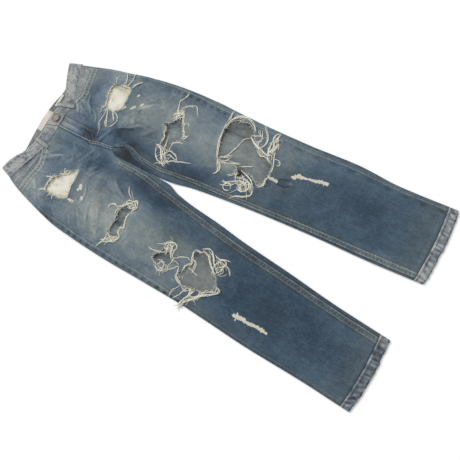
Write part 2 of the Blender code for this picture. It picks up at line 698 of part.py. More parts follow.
def make_fray(name, fray):
    """The plain reach of one bundle of frayed threads, on the front panel beside its rip."""
    rows = [row for row in STATIONS if fray.down1 - 6.0 < row < fray.down2 + 6.0]
    piece = loft(name, front_grid(fray.side, lambda x, down, centre: FRAY_WALL + SEAM_GAP, rows,
                                  FRONT_PLACES[:-1] + [0.999]), "thread", FRAY_WALL,
                 turned=fray.side == "right")
    corner = 0.25 * (fray.x2 - fray.x1)
    drop = 0.25 * (fray.down2 - fray.down1)
    cut(piece, [(fray.x1 + corner, fray.down1), (fray.x2 - corner, fray.down1),
                (fray.x2, fray.down1 + drop), (fray.x2, fray.down2 - drop),
                (fray.x2 - corner, fray.down2), (fray.x1 + corner, fray.down2),
                (fray.x1, fray.down2 - drop), (fray.x1, fray.down1 + drop)], "INTERSECT")


def recentre():
    """Put the origin under the middle of the garment's box, on the surface it lies on."""
    bpy.context.view_layer.update()
    graph = bpy.context.evaluated_depsgraph_get()
    corners = [piece.matrix_world @ Vector(corner) for piece in garment.objects if piece.type == "MESH"
               for corner in piece.evaluated_get(graph).bound_box]
    for axis in (0, 1):
        low = min(corner[axis] for corner in corners)
        high = max(corner[axis] for corner in corners)
        layout.location[axis] = -0.5 * (low + high)


for old in list(bpy.data.objects):
    bpy.data.objects.remove(old)
garment = bpy.data.collections.new("ripped_jeans")
cutters = bpy.data.collections.new("cutters")
for group in (garment, cutters):
    bpy.context.scene.collection.children.link(group)
layout = bpy.data.objects.new("layout", None)
garment.objects.link(layout)

for each_side in LEGS:
    make_front(each_side)
    make_pocket(each_side)
    make_back(each_side)
    make_back_pocket(each_side)
    make_hem(each_side)
make_waist_fittings()
make_button()
for fray_name, fray_place in FRAYS.items():
    make_fray(fray_name, fray_place)
recentre()
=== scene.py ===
import math

import bpy
import numpy as np
from mathutils import Matrix, Vector


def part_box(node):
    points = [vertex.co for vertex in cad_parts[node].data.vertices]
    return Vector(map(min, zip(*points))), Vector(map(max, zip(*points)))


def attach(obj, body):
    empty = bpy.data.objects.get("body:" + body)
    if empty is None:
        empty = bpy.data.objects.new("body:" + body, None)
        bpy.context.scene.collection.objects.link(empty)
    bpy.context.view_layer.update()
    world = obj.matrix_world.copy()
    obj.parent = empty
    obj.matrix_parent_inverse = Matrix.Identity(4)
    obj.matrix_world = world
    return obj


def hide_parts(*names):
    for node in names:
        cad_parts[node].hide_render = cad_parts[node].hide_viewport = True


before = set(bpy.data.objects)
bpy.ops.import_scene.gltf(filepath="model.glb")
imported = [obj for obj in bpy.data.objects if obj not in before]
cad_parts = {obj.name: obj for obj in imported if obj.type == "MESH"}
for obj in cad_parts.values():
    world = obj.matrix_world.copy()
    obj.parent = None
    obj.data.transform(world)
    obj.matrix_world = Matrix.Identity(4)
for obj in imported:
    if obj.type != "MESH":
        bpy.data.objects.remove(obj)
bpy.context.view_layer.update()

CM = 0.01
MM = 0.001

# ---------------------------------------------------------------- sizes of the garment

DENIM = 1.1 * MM
LAYER = 1.4 * MM
POCKETING = 0.8 * MM
LABEL_WALL = 0.9 * MM
BAND_WALL = 2.0 * MM
HEM_WALL = 2.2 * MM
FOLD_REACH = 0.25
HEM_FOLD_REACH = 0.30
HIP_BASE = 1.45 * MM
HIP_TOP = 5.4 * MM
LEG_MIDDLE = 2.9 * MM
LEG_EDGE = 4.8 * MM
EDGE_WIDTH = 4.0
HEM_TOP = 5.6 * MM
SEAT_END = 26.0
SEAT_RAMP = 5.5
BAND_BASE = 1.8 * MM
BAND_TOP = 6.8 * MM
BAND_LAP = 2.3 * MM
FLY_END = 17.0
FLY_UNDERLAP = 1.8
FLY_LAP = 2.4
HEM_DEPTH = 2.2
CROTCH = 23.6
HEM_TILT = 88.0
SEAM_GAP = 0.05
SIDE_GAP = 0.03
SEAM_UNDERLAP = 1.5 * MM
HOLLOW_DEPTH = 2.4 * MM
BEND_STEPS = 7

# Corners of outlines well outside the garment: to the side, and above the waist
FAR = 30.0
ABOVE = -5.0

# Torn edges: how uneven, and the distance between their points; the pitch of a seam's puckers
TORN_DEPTH = 0.16
TORN_STEP = 0.2
ROPE_PITCH = 0.92

# Sewn and loose threads
STITCH_WIDTH = 0.62 * MM
STITCH_RISE = 0.42 * MM
YARN_WANDER = 0.11
YARN_CURL = 1.3
YARN_STEP = 0.25
FRINGE_SPACING = 0.10

# down, side fold outside, outseam, inseam, side fold inside
LEGS = {
    "right": np.array([
        (0.0, -16.5, -16.10, 0.05, -0.02), (6.0, -19.0, -18.60, 0.05, -0.02),
        (12.0, -20.7, -20.10, 0.05, -0.02), (17.0, -21.9, -20.90, 0.10, -0.02),
        (20.0, -22.5, -21.20, 0.80, 0.58), (23.0, -22.85, -21.45, 1.30, 1.18),
        (23.6, -22.9, -21.50, 1.05, 1.34), (25.2, -23.0, -21.65, -0.45, 0.08),
        (27.0, -23.15, -21.85, -0.65, -0.02), (34.0, -23.55, -22.15, -0.85, -0.02),
        (41.0, -23.7, -22.30, -1.95, -0.20), (45.0, -23.7, -22.35, -2.65, -1.50),
        (50.0, -23.75, -22.50, -3.45, -2.40), (57.0, -23.8, -22.90, -4.50, -3.20),
        (65.0, -24.2, -23.55, -5.60, -4.40), (77.5, -24.95, -24.30, -6.85, -5.80),
        (90.0, -25.2, -24.55, -8.20, -7.35), (103.0, -25.8, -25.10, -9.30, -8.45)]),
    "left": np.array([
        (0.0, 16.6, 16.20, 0.05, 0.02), (6.0, 18.4, 17.90, 0.05, 0.02),
        (12.0, 20.1, 19.60, 0.05, 0.02), (17.0, 21.1, 20.60, 0.10, 0.02),
        (20.0, 21.8, 21.30, 0.80, 0.62), (23.0, 22.35, 21.80, 1.30, 1.22),
        (23.6, 22.4, 21.85, 1.67, 1.38), (25.2, 22.7, 22.10, 2.50, 0.12),
        (27.0, 22.95, 22.35, 3.25, 0.02), (32.0, 23.5, 22.80, 1.75, 0.02),
        (37.0, 23.75, 22.90, 1.50, 0.02), (42.0, 23.8, 22.65, 2.05, 0.40),
        (47.0, 23.6, 22.45, 2.55, 1.40), (58.0, 23.3, 22.10, 3.25, 2.70),
        (67.5, 23.4, 21.95, 3.98, 3.50), (80.0, 23.9, 22.50, 4.75, 4.25),
        (90.0, 23.35, 22.35, 5.15, 4.60), (104.2, 23.85, 22.95, 6.00, 5.50)]),
}
LEG_COLUMNS = {"outer": 1, "outseam": 2, "inseam": 3, "inner": 4}
HEMS = {"right": (102.3, 103.1, 103.0), "left": (103.75, 104.4, 104.0)}    # outer, middle, inner
OUTWARD = {"right": -1.0, "left": 1.0}
FACING_LAYERS = {"right": 2, "left": 1}

# The waistband: its top edge and its seam, from the right front end round the back
BAND_FRONTS = {
    "right": [
        (2.4, 3.75, 2.4, 7.0), (-1.0, 3.7, -1.0, 7.1), (-4.0, 3.6, -4.0, 7.0), (-6.2, 3.5, -6.2, 6.8),
        (-8.3, 3.0, -8.5, 6.1), (-10.2, 2.1, -10.7, 5.3), (-12.2, 0.75, -13.0, 4.4),
        (-14.4, -0.2, -15.4, 3.6), (-16.25, -0.6, -17.45, 3.1),
    ],
    "left": [
        (16.35, -0.5, 17.55, 3.0), (14.6, 0.3, 15.6, 3.6), (12.2, 1.5, 13.2, 4.5), (10.0, 2.6, 11.0, 5.4),
        (8.3, 3.7, 9.0, 6.3), (7.0, 4.3, 7.2, 6.9), (4.6, 3.75, 4.7, 7.0), (2.6, 3.6, 2.8, 7.1),
        (-1.0, 3.8, 0.15, 7.2),
    ],
}
BAND_BACK = [(-16.25, -0.60, -17.45, 3.1), (-13.2, 1.00, -13.8, 4.6), (-10.0, 2.30, -10.2, 5.8),
             (-5.0, 1.90, -5.0, 5.4), (0.0, 1.60, 0.0, 5.0), (5.0, 1.90, 5.0, 5.4),
             (9.0, 2.60, 9.2, 5.9), (13.0, 1.30, 13.6, 4.8), (16.35, -0.50, 17.55, 3.0)]

SCOOPS = {
    "right": [(-19.65, 6.95), (-16.0, 7.0), (-13.0, 7.6), (-10.5, 7.8), (-8.6, 7.25), (-7.75, 6.75)],
    "left": [(18.4, 6.35), (15.5, 6.85), (13.0, 7.4), (10.5, 7.95), (8.75, 7.6), (7.6, 7.1)],
}
COIN_POCKET = [(-16.25, 5.75), (-13.0, 6.3), (-10.0, 6.75), (-9.2, 6.85), (-9.2, 10.8), (-15.9, 10.8)]
YOKE_SIDE = 8.0
YOKE_CENTRE = 11.0

RIPS = {
    "right": {
        "hip": [
            (-16.0, 13.5), (-14.5, 13.25), (-12.5, 13.5), (-11.25, 14.75), (-10.0, 15.0), (-9.0, 16.5),
            (-7.6, 18.75), (-10.0, 19.0), (-12.5, 19.25), (-15.0, 19.9), (-15.75, 18.5), (-16.25, 16.0),
        ],
        "thigh": [
            (-17.6, 34.1), (-15.8, 34.2), (-14.4, 34.3), (-13.3, 33.8), (-11.6, 33.8), (-10.2, 34.5),
            (-9.2, 35.3), (-9.4, 37.0), (-11.2, 36.5), (-12.8, 36.3), (-14.6, 37.1), (-15.4, 36.3),
            (-17.3, 37.2), (-18.3, 35.8),
        ],
        "above_knee": [
            (-18.4, 48.4), (-17.6, 47.2), (-16.6, 47.5), (-15.8, 48.6), (-15.0, 48.4), (-14.2, 49.4),
            (-14.6, 50.8), (-15.6, 51.6), (-16.6, 52.5), (-17.4, 52.2), (-17.9, 50.8), (-17.2, 49.8),
            (-18.2, 49.4),
        ],
        "knee": [
            (-19.9, 56.8), (-19.2, 55.4), (-17.7, 54.7), (-16.8, 55.4), (-15.8, 55.5), (-14.9, 56.2),
            (-13.8, 56.3), (-12.7, 55.8), (-11.5, 55.9), (-11.3, 57.1), (-10.6, 58.0), (-11.0, 59.2),
            (-12.2, 60.2), (-13.0, 61.4), (-14.2, 62.4), (-14.8, 63.4), (-16.4, 64.0), (-17.8, 63.7),
            (-18.7, 62.8), (-19.3, 61.0), (-19.8, 59.0),
        ],
    },
    "left": {
        "hip": [
            (10.25, 15.25), (12.0, 15.0), (14.5, 14.25), (16.5, 14.5), (17.0, 16.0), (17.4, 18.5),
            (17.0, 19.5), (14.0, 19.75), (11.5, 19.9), (10.25, 19.0), (9.9, 17.0),
        ],
        "thigh": [
            (7.3, 34.0), (9.6, 34.1), (10.6, 33.6), (12.2, 33.3), (12.6, 32.0), (13.0, 32.1),
            (13.3, 33.3), (14.6, 34.1), (16.2, 34.0), (17.6, 34.3), (16.8, 35.3), (15.2, 36.3),
            (13.6, 37.4), (12.0, 38.3), (10.4, 38.2), (9.5, 37.0), (7.4, 37.0), (6.9, 35.8),
        ],
        "knee": [
            (11.3, 48.8), (14.0, 47.7), (16.4, 47.0), (17.9, 46.75), (20.0, 47.2), (21.4, 48.2),
            (22.0, 49.8), (21.9, 51.8), (21.0, 53.4), (19.6, 54.3), (18.4, 55.2), (17.3, 56.6),
            (17.0, 58.2), (16.6, 60.0), (15.4, 61.4), (13.0, 62.1), (10.5, 62.2), (8.8, 61.0),
            (9.9, 59.4), (10.8, 57.9), (9.4, 57.0), (8.7, 55.6), (9.8, 54.4), (10.9, 54.6), (11.2, 53.0),
            (10.5, 51.4), (10.4, 50.2),
        ],
    },
}

BUTTON_PLACE = (1.6, 5.3)
low, high = (np.array(corner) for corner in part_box("waist_button"))
SHIFT_X = 0.5 * (low[0] + high[0]) - BUTTON_PLACE[0] * CM
SHIFT_Y = 0.5 * (low[1] + high[1]) + BUTTON_PLACE[1] * CM

# ---------------------------------------------------------------- creases
# x and down of both ends, bow to the side, height in mm (less than 0 is a trough), half width,
# and how much paler the crest is worn
CREASES = [
    # ridges of the inseams beside the crotch, and the largest folds of the legs
    (2.6, 24.0, 3.1, 31.0, 0.4, 3.6, 0.9, 0.05), (-2.5, 25.5, -2.6, 33.0, 0.0, 2.2, 1.6, 0.03),
    (-7.0, 21.0, -20.5, 30.0, 0.6, 1.8, 2.2, 0.05), (7.5, 22.0, 19.5, 28.0, -0.5, 1.8, 2.2, 0.04),
    (-12.0, 43.0, -15.0, 53.0, 0.5, 1.2, 3.0, 0.0), (13.0, 66.0, 12.0, 84.0, 0.8, 1.4, 3.2, 0.02),
    (-15.0, 70.0, -16.5, 88.0, -0.8, 1.4, 3.2, 0.02),
    # whiskers that fan out from the crotch over both thighs
    (-1.5, 18.5, -9.5, 14.0, 0.5, 0.9, 0.6, 0.07), (-1.0, 20.5, -9.0, 18.0, 0.4, 1.0, 0.7, 0.07),
    (-2.0, 22.5, -12.0, 22.0, 0.5, 1.1, 0.8, 0.08), (-3.5, 24.5, -15.0, 27.5, 0.6, 1.3, 0.9, 0.08),
    (-5.0, 26.0, -11.0, 33.0, -0.5, 1.2, 0.9, 0.06), (-11.0, 24.5, -19.5, 28.5, 0.4, 1.1, 0.7, 0.09),
    (-12.5, 26.5, -20.5, 32.5, 0.4, 1.0, 0.8, 0.06), (-4.0, 20.0, -7.5, 21.0, 0.0, -0.7, 0.6, -0.06),
    (3.0, 18.8, 9.5, 14.5, -0.5, 0.9, 0.6, 0.07), (3.2, 20.8, 10.0, 19.4, -0.4, 1.0, 0.7, 0.07),
    (4.0, 22.6, 12.5, 22.8, -0.4, 1.1, 0.7, 0.06), (5.5, 24.0, 11.5, 32.0, 0.8, 1.7, 0.9, 0.06),
    (4.2, 24.5, 8.0, 34.0, 0.6, 1.3, 0.9, 0.02), (13.5, 24.0, 18.5, 31.0, 0.6, 1.4, 0.9, 0.1),
    (16.0, 22.5, 21.0, 29.5, 0.4, 1.0, 0.8, 0.05),
    # folds that run from the pockets' corners and across the hips
    (-8.7, 7.4, -5.7, 13.5, 0.2, 1.1, 0.45, 0.16), (-7.8, 7.2, -6.6, 9.5, 0.0, 0.9, 0.35, 0.14),
    (-9.4, 8.6, -8.2, 12.5, 0.2, -0.8, 0.6, -0.05), (8.0, 8.2, 5.2, 11.2, -0.2, 1.0, 0.5, 0.14),
    (9.4, 9.0, 6.4, 13.4, -0.3, 0.9, 0.6, 0.1), (-17.5, 9.0, -10.5, 11.0, 0.8, 1.0, 1.4, 0.02),
    (10.5, 10.4, 17.5, 10.0, 0.8, -0.9, 1.3, -0.05), (-4.5, 8.0, -1.0, 10.5, 0.4, 0.7, 0.9, 0.03),
    (-6.5, 13.5, -2.0, 17.5, 0.5, -0.7, 0.9, -0.04), (-18.5, 20.0, -13.5, 22.5, 0.5, 0.9, 0.9, 0.04),
    (18.5, 19.5, 12.5, 22.4, -0.5, 0.9, 0.9, 0.03), (11.5, 12.6, 19.0, 14.0, 0.6, 0.8, 1.0, 0.04),
    # the cloth gapes a little above and below the rips
    (-17.8, 33.0, -9.0, 32.6, 0.5, 1.6, 0.9, 0.03), (-17.5, 38.2, -9.0, 38.0, -0.4, 1.0, 0.9, 0.02),
    (7.0, 32.8, 18.5, 32.4, 0.5, 1.7, 0.9, 0.03), (7.5, 39.2, 16.5, 38.2, 0.6, 1.2, 1.0, 0.02),
    (-19.5, 53.6, -11.0, 54.6, 0.4, 1.6, 0.9, 0.03), (-19.0, 65.8, -12.0, 64.6, -0.5, 1.1, 1.0, 0.0),
    (10.5, 46.6, 21.0, 45.4, 0.9, 2.4, 1.0, 0.04), (8.5, 63.2, 17.5, 62.4, -0.4, 1.4, 1.0, 0.02),
    (-9.0, 56.0, -8.4, 62.0, 0.3, 1.2, 0.9, 0.0), (-21.2, 56.0, -20.8, 63.0, -0.3, 1.1, 0.9, 0.0),
    # long soft creases down and across the legs
    (-6.0, 34.0, -8.5, 52.0, 0.8, 0.9, 1.3, 0.0), (5.2, 40.0, 7.4, 50.0, 0.5, 1.0, 1.2, 0.02),
    (20.4, 36.0, 20.0, 45.0, 0.4, 1.1, 1.0, 0.02), (-20.2, 39.0, -19.4, 47.0, 0.3, 0.9, 1.2, 0.02),
    (-21.5, 67.0, -19.0, 74.0, 0.5, 0.8, 1.2, 0.02), (-11.5, 66.5, -17.5, 71.0, 0.6, 0.7, 1.0, 0.02),
    (-10.5, 72.0, -14.0, 79.0, 0.5, 0.8, 1.1, 0.02), (-21.0, 79.0, -13.0, 84.5, 0.8, 0.8, 1.0, 0.02),
    (-12.0, 85.0, -20.5, 91.0, 0.6, 0.7, 1.0, 0.02), (-22.5, 90.0, -17.5, 97.0, 0.4, 0.8, 1.2, 0.03),
    (-13.5, 92.0, -12.5, 99.5, 0.3, 0.8, 0.9, 0.03), (7.0, 68.5, 11.5, 72.0, 0.4, 0.8, 1.0, 0.02),
    (19.0, 64.0, 15.0, 69.5, 0.5, 0.9, 1.0, 0.02), (8.5, 76.0, 16.5, 80.5, 0.8, 0.8, 1.0, 0.02),
    (18.5, 77.5, 19.5, 88.0, 0.5, 0.9, 1.1, 0.02), (8.0, 85.0, 13.5, 90.5, 0.6, 0.8, 1.0, 0.03),
    (19.0, 90.0, 11.5, 94.5, 0.5, 0.8, 1.0, 0.03), (15.5, 94.5, 17.0, 101.0, 0.2, 0.8, 0.9, 0.03),
    (8.2, 95.0, 9.6, 101.5, 0.2, 0.8, 0.8, 0.03),
]

# Sharper crests of the creases: their line, half width, how much paler, and height in mm; the cloth beside
# each crest is painted darker as shade, most on its hem's side
CRESTS = [
    # from the right pocket's corner and over the right hip
    ([(-8.1, 7.3), (-7.5, 8.8), (-7.1, 10.6), (-6.3, 12.1), (-5.8, 13.3)], 0.25, 0.2, 1.0),
    ([(-7.5, 7.9), (-6.6, 9.4), (-5.2, 10.8), (-4.1, 11.6)], 0.22, 0.14, 0.8),
    ([(-9.3, 7.6), (-8.9, 8.6), (-8.2, 9.8)], 0.26, 0.12, 0.6),
    ([(-6.2, 13.5), (-5.2, 14.6), (-4.0, 15.3)], 0.22, 0.08, 0.5),
    ([(-7.3, 16.4), (-5.9, 15.6), (-4.6, 14.7)], 0.28, 0.07, 0.5),
    ([(-3.6, 14.6), (-2.2, 13.6), (-0.9, 12.9)], 0.25, 0.05, 0.4),
    ([(-6.4, 16.9), (-4.4, 18.0), (-2.0, 19.2), (-0.1, 20.0)], 0.32, 0.13, 1.1),
    ([(-8.4, 22.0), (-6.6, 22.7), (-5.0, 23.9), (-3.7, 25.1)], 0.26, 0.11, 0.8),
    ([(-6.6, 20.6), (-5.0, 22.4), (-3.9, 24.6)], 0.26, 0.08, 0.6),
    ([(-4.2, 20.6), (-2.4, 21.3), (-0.6, 21.5)], 0.3, 0.06, 0.5),
    ([(-15.9, 22.9), (-14.2, 23.9), (-12.6, 23.9), (-11.0, 23.2), (-9.4, 22.2)], 0.2, 0.17, 0.8),
    ([(-20.4, 27.2), (-18.6, 25.8), (-17.0, 24.4), (-15.7, 22.9)], 0.25, 0.1, 0.7),
    ([(-19.2, 28.1), (-16.6, 26.9), (-14.0, 26.0), (-11.8, 25.8)], 0.26, 0.12, 0.8),
    ([(-11.9, 25.9), (-8.6, 26.3), (-5.4, 26.5)], 0.3, 0.05, 0.4),
    ([(-8.7, 33.8), (-7.6, 31.6), (-6.4, 29.7), (-5.1, 28.0)], 0.34, 0.12, 0.9),
    ([(-17.7, 11.6), (-16.0, 10.2), (-14.5, 8.9)], 0.24, 0.08, 0.5),
    ([(-13.6, 29.5), (-12.0, 28.2), (-10.5, 26.7)], 0.24, 0.08, 0.5),
    ([(-17.0, 30.0), (-14.8, 29.2), (-13.0, 28.0)], 0.3, 0.06, 0.5),
    ([(-20.0, 31.4), (-17.8, 31.0), (-16.2, 32.2)], 0.3, 0.06, 0.5),
    ([(-10.8, 31.6), (-9.4, 29.4), (-8.6, 27.4)], 0.3, 0.06, 0.5),
    ([(-20.5, 15.4), (-19.6, 13.2), (-18.4, 11.9), (-17.0, 11.4)], 0.24, 0.09, 0.6),
    ([(-16.8, 10.0), (-14.8, 9.4), (-12.6, 9.6)], 0.45, 0.05, 0.5),
    ([(-19.7, 21.6), (-17.6, 21.7), (-15.9, 22.5)], 0.3, 0.07, 0.5),
    ([(-20.8, 24.3), (-19.2, 23.2), (-17.6, 23.0)], 0.26, 0.06, 0.4),
    ([(-12.4, 11.4), (-10.6, 12.2), (-9.6, 13.4)], 0.3, 0.05, 0.4),
    # from the left pocket's corner and over the left hip
    ([(8.6, 7.2), (7.3, 8.4), (6.2, 9.2), (4.8, 10.0)], 0.28, 0.2, 1.0),
    ([(8.0, 8.4), (7.1, 10.0), (6.5, 11.6), (5.2, 13.4)], 0.22, 0.1, 0.7),
    ([(12.0, 10.0), (10.2, 10.5), (8.8, 11.0), (8.0, 12.2), (6.4, 12.9)], 0.24, 0.14, 0.8),
    ([(8.2, 12.6), (7.4, 14.0), (6.2, 15.0), (4.3, 15.5)], 0.24, 0.13, 0.8),
    ([(5.2, 10.6), (4.8, 12.0), (4.0, 12.9)], 0.26, 0.07, 0.5),
    ([(0.6, 19.1), (2.2, 19.3), (4.4, 20.3), (5.9, 20.9)], 0.3, 0.13, 1.0),
    ([(2.4, 18.6), (4.0, 18.4), (5.4, 18.9)], 0.26, 0.07, 0.5),
    ([(6.0, 20.9), (7.2, 22.8), (8.0, 24.8), (9.3, 26.2), (10.1, 28.4)], 0.26, 0.14, 1.0),
    ([(3.2, 24.3), (4.1, 26.4), (4.7, 28.6)], 0.2, 0.11, 0.6),
    ([(12.4, 23.2), (13.6, 24.6), (15.0, 26.2), (16.6, 28.4)], 0.35, 0.1, 0.8),
    ([(15.4, 24.8), (16.8, 26.4), (18.2, 28.0)], 0.3, 0.07, 0.6),
    ([(7.3, 28.8), (8.6, 30.4), (10.6, 31.4)], 0.24, -0.07, -0.5),
    ([(9.4, 22.0), (11.0, 23.2), (12.0, 24.3)], 0.26, 0.06, 0.5),
    ([(18.6, 29.4), (20.2, 30.2), (21.8, 31.6)], 0.3, 0.07, 0.5),
    ([(14.8, 10.4), (16.2, 11.6), (18.0, 12.2)], 0.3, 0.05, 0.4),
    ([(12.6, 12.8), (14.2, 12.2), (15.8, 12.6)], 0.3, 0.05, 0.4),
]

# Folds that were pressed flat, with painted light and shade on their flat facets: the line, how much paler
# the cloth is painted on the hem's side of a line that runs to the wearer's left, and how far that reaches
PAINTED_FACET_SHADING = [
    ([(-19.4, 28.2), (-16.3, 27.1), (-14.0, 26.1), (-12.0, 25.8), (-9.0, 26.4), (-5.6, 26.8)], 0.06, 1.6),
    ([(-18.8, 26.3), (-17.2, 24.4), (-16.0, 22.7)], 0.045, 1.2),
    ([(-11.7, 26.8), (-12.6, 28.2), (-13.8, 29.8)], 0.06, 1.3),
    ([(-8.7, 33.8), (-7.6, 31.6), (-6.4, 29.8), (-4.6, 28.3)], -0.075, 1.5),
    ([(-7.6, 22.0), (-6.0, 23.3), (-3.7, 25.6)], 0.055, 1.2),
    ([(-7.4, 8.4), (-5.6, 9.9), (-3.9, 11.5)], -0.05, 1.0),
    ([(-7.8, 9.2), (-6.9, 11.0), (-5.8, 13.3)], 0.045, 0.9),
    ([(-20.0, 15.2), (-19.0, 12.6), (-17.6, 11.6)], 0.04, 1.0),
    ([(-6.6, 18.2), (-3.6, 18.3), (-0.6, 19.9)], -0.05, 1.2),
    ([(6.0, 20.8), (7.1, 22.9), (8.0, 24.9), (9.0, 26.6), (9.9, 28.6)], -0.115, 1.9),
    ([(8.2, 25.3), (9.9, 24.9), (11.9, 24.0)], -0.075, 1.2),
    ([(12.6, 23.4), (13.6, 24.9), (15.0, 26.4), (16.8, 28.3)], -0.065, 1.5),
    ([(7.4, 28.6), (8.6, 30.1), (10.8, 31.4)], -0.05, 1.0),
    ([(3.4, 24.6), (4.2, 26.6), (4.9, 29.0)], -0.045, 0.9),
    ([(12.0, 10.0), (9.8, 10.6), (8.3, 12.0), (6.2, 13.2)], 0.05, 1.0),
    ([(8.2, 12.6), (7.2, 14.2), (4.3, 15.5)], -0.045, 0.9),
    ([(0.8, 19.0), (3.0, 19.6), (5.8, 20.8)], -0.06, 1.2),
    ([(14.2, 42.0), (12.6, 44.6), (10.2, 46.0)], 0.03, 1.3),
    ([(-18.6, 43.0), (-15.8, 44.4), (-12.0, 43.6)], -0.03, 1.3),
    ([(-19.0, 67.6), (-15.4, 69.0), (-11.4, 68.0)], -0.03, 1.4),
    ([(8.6, 66.4), (11.0, 69.6), (15.2, 70.6)], 0.025, 1.4),
]

# Where the wash has aged greener and greyer: x, down, half width, half height, how much
AGED = {
    "right": [
        (-14.0, 31.0, 7.0, 12.0, 0.9), (-15.5, 46.0, 5.0, 6.0, 0.7), (-12.8, 51.5, 3.6, 5.5, 0.9),
        (-12.0, 23.0, 5.0, 4.0, 0.3), (-22.6, 60.0, 2.0, 14.0, 0.4), (-20.4, 51.6, 2.6, 5.0, 0.4),
        (-8.4, 60.0, 2.4, 6.0, 0.35),
    ],
    "left": [
        (14.0, 33.0, 7.5, 12.0, 0.9), (11.0, 49.0, 4.0, 5.0, 0.8), (16.0, 64.0, 5.0, 3.5, 0.5),
        (14.0, 22.5, 5.0, 3.0, 0.4), (9.5, 26.0, 3.0, 4.0, 0.3), (12.5, 66.0, 6.0, 5.0, 0.45),
        (9.8, 52.2, 1.8, 2.6, 0.6), (19.8, 63.0, 2.6, 5.0, 0.3),
    ],
}

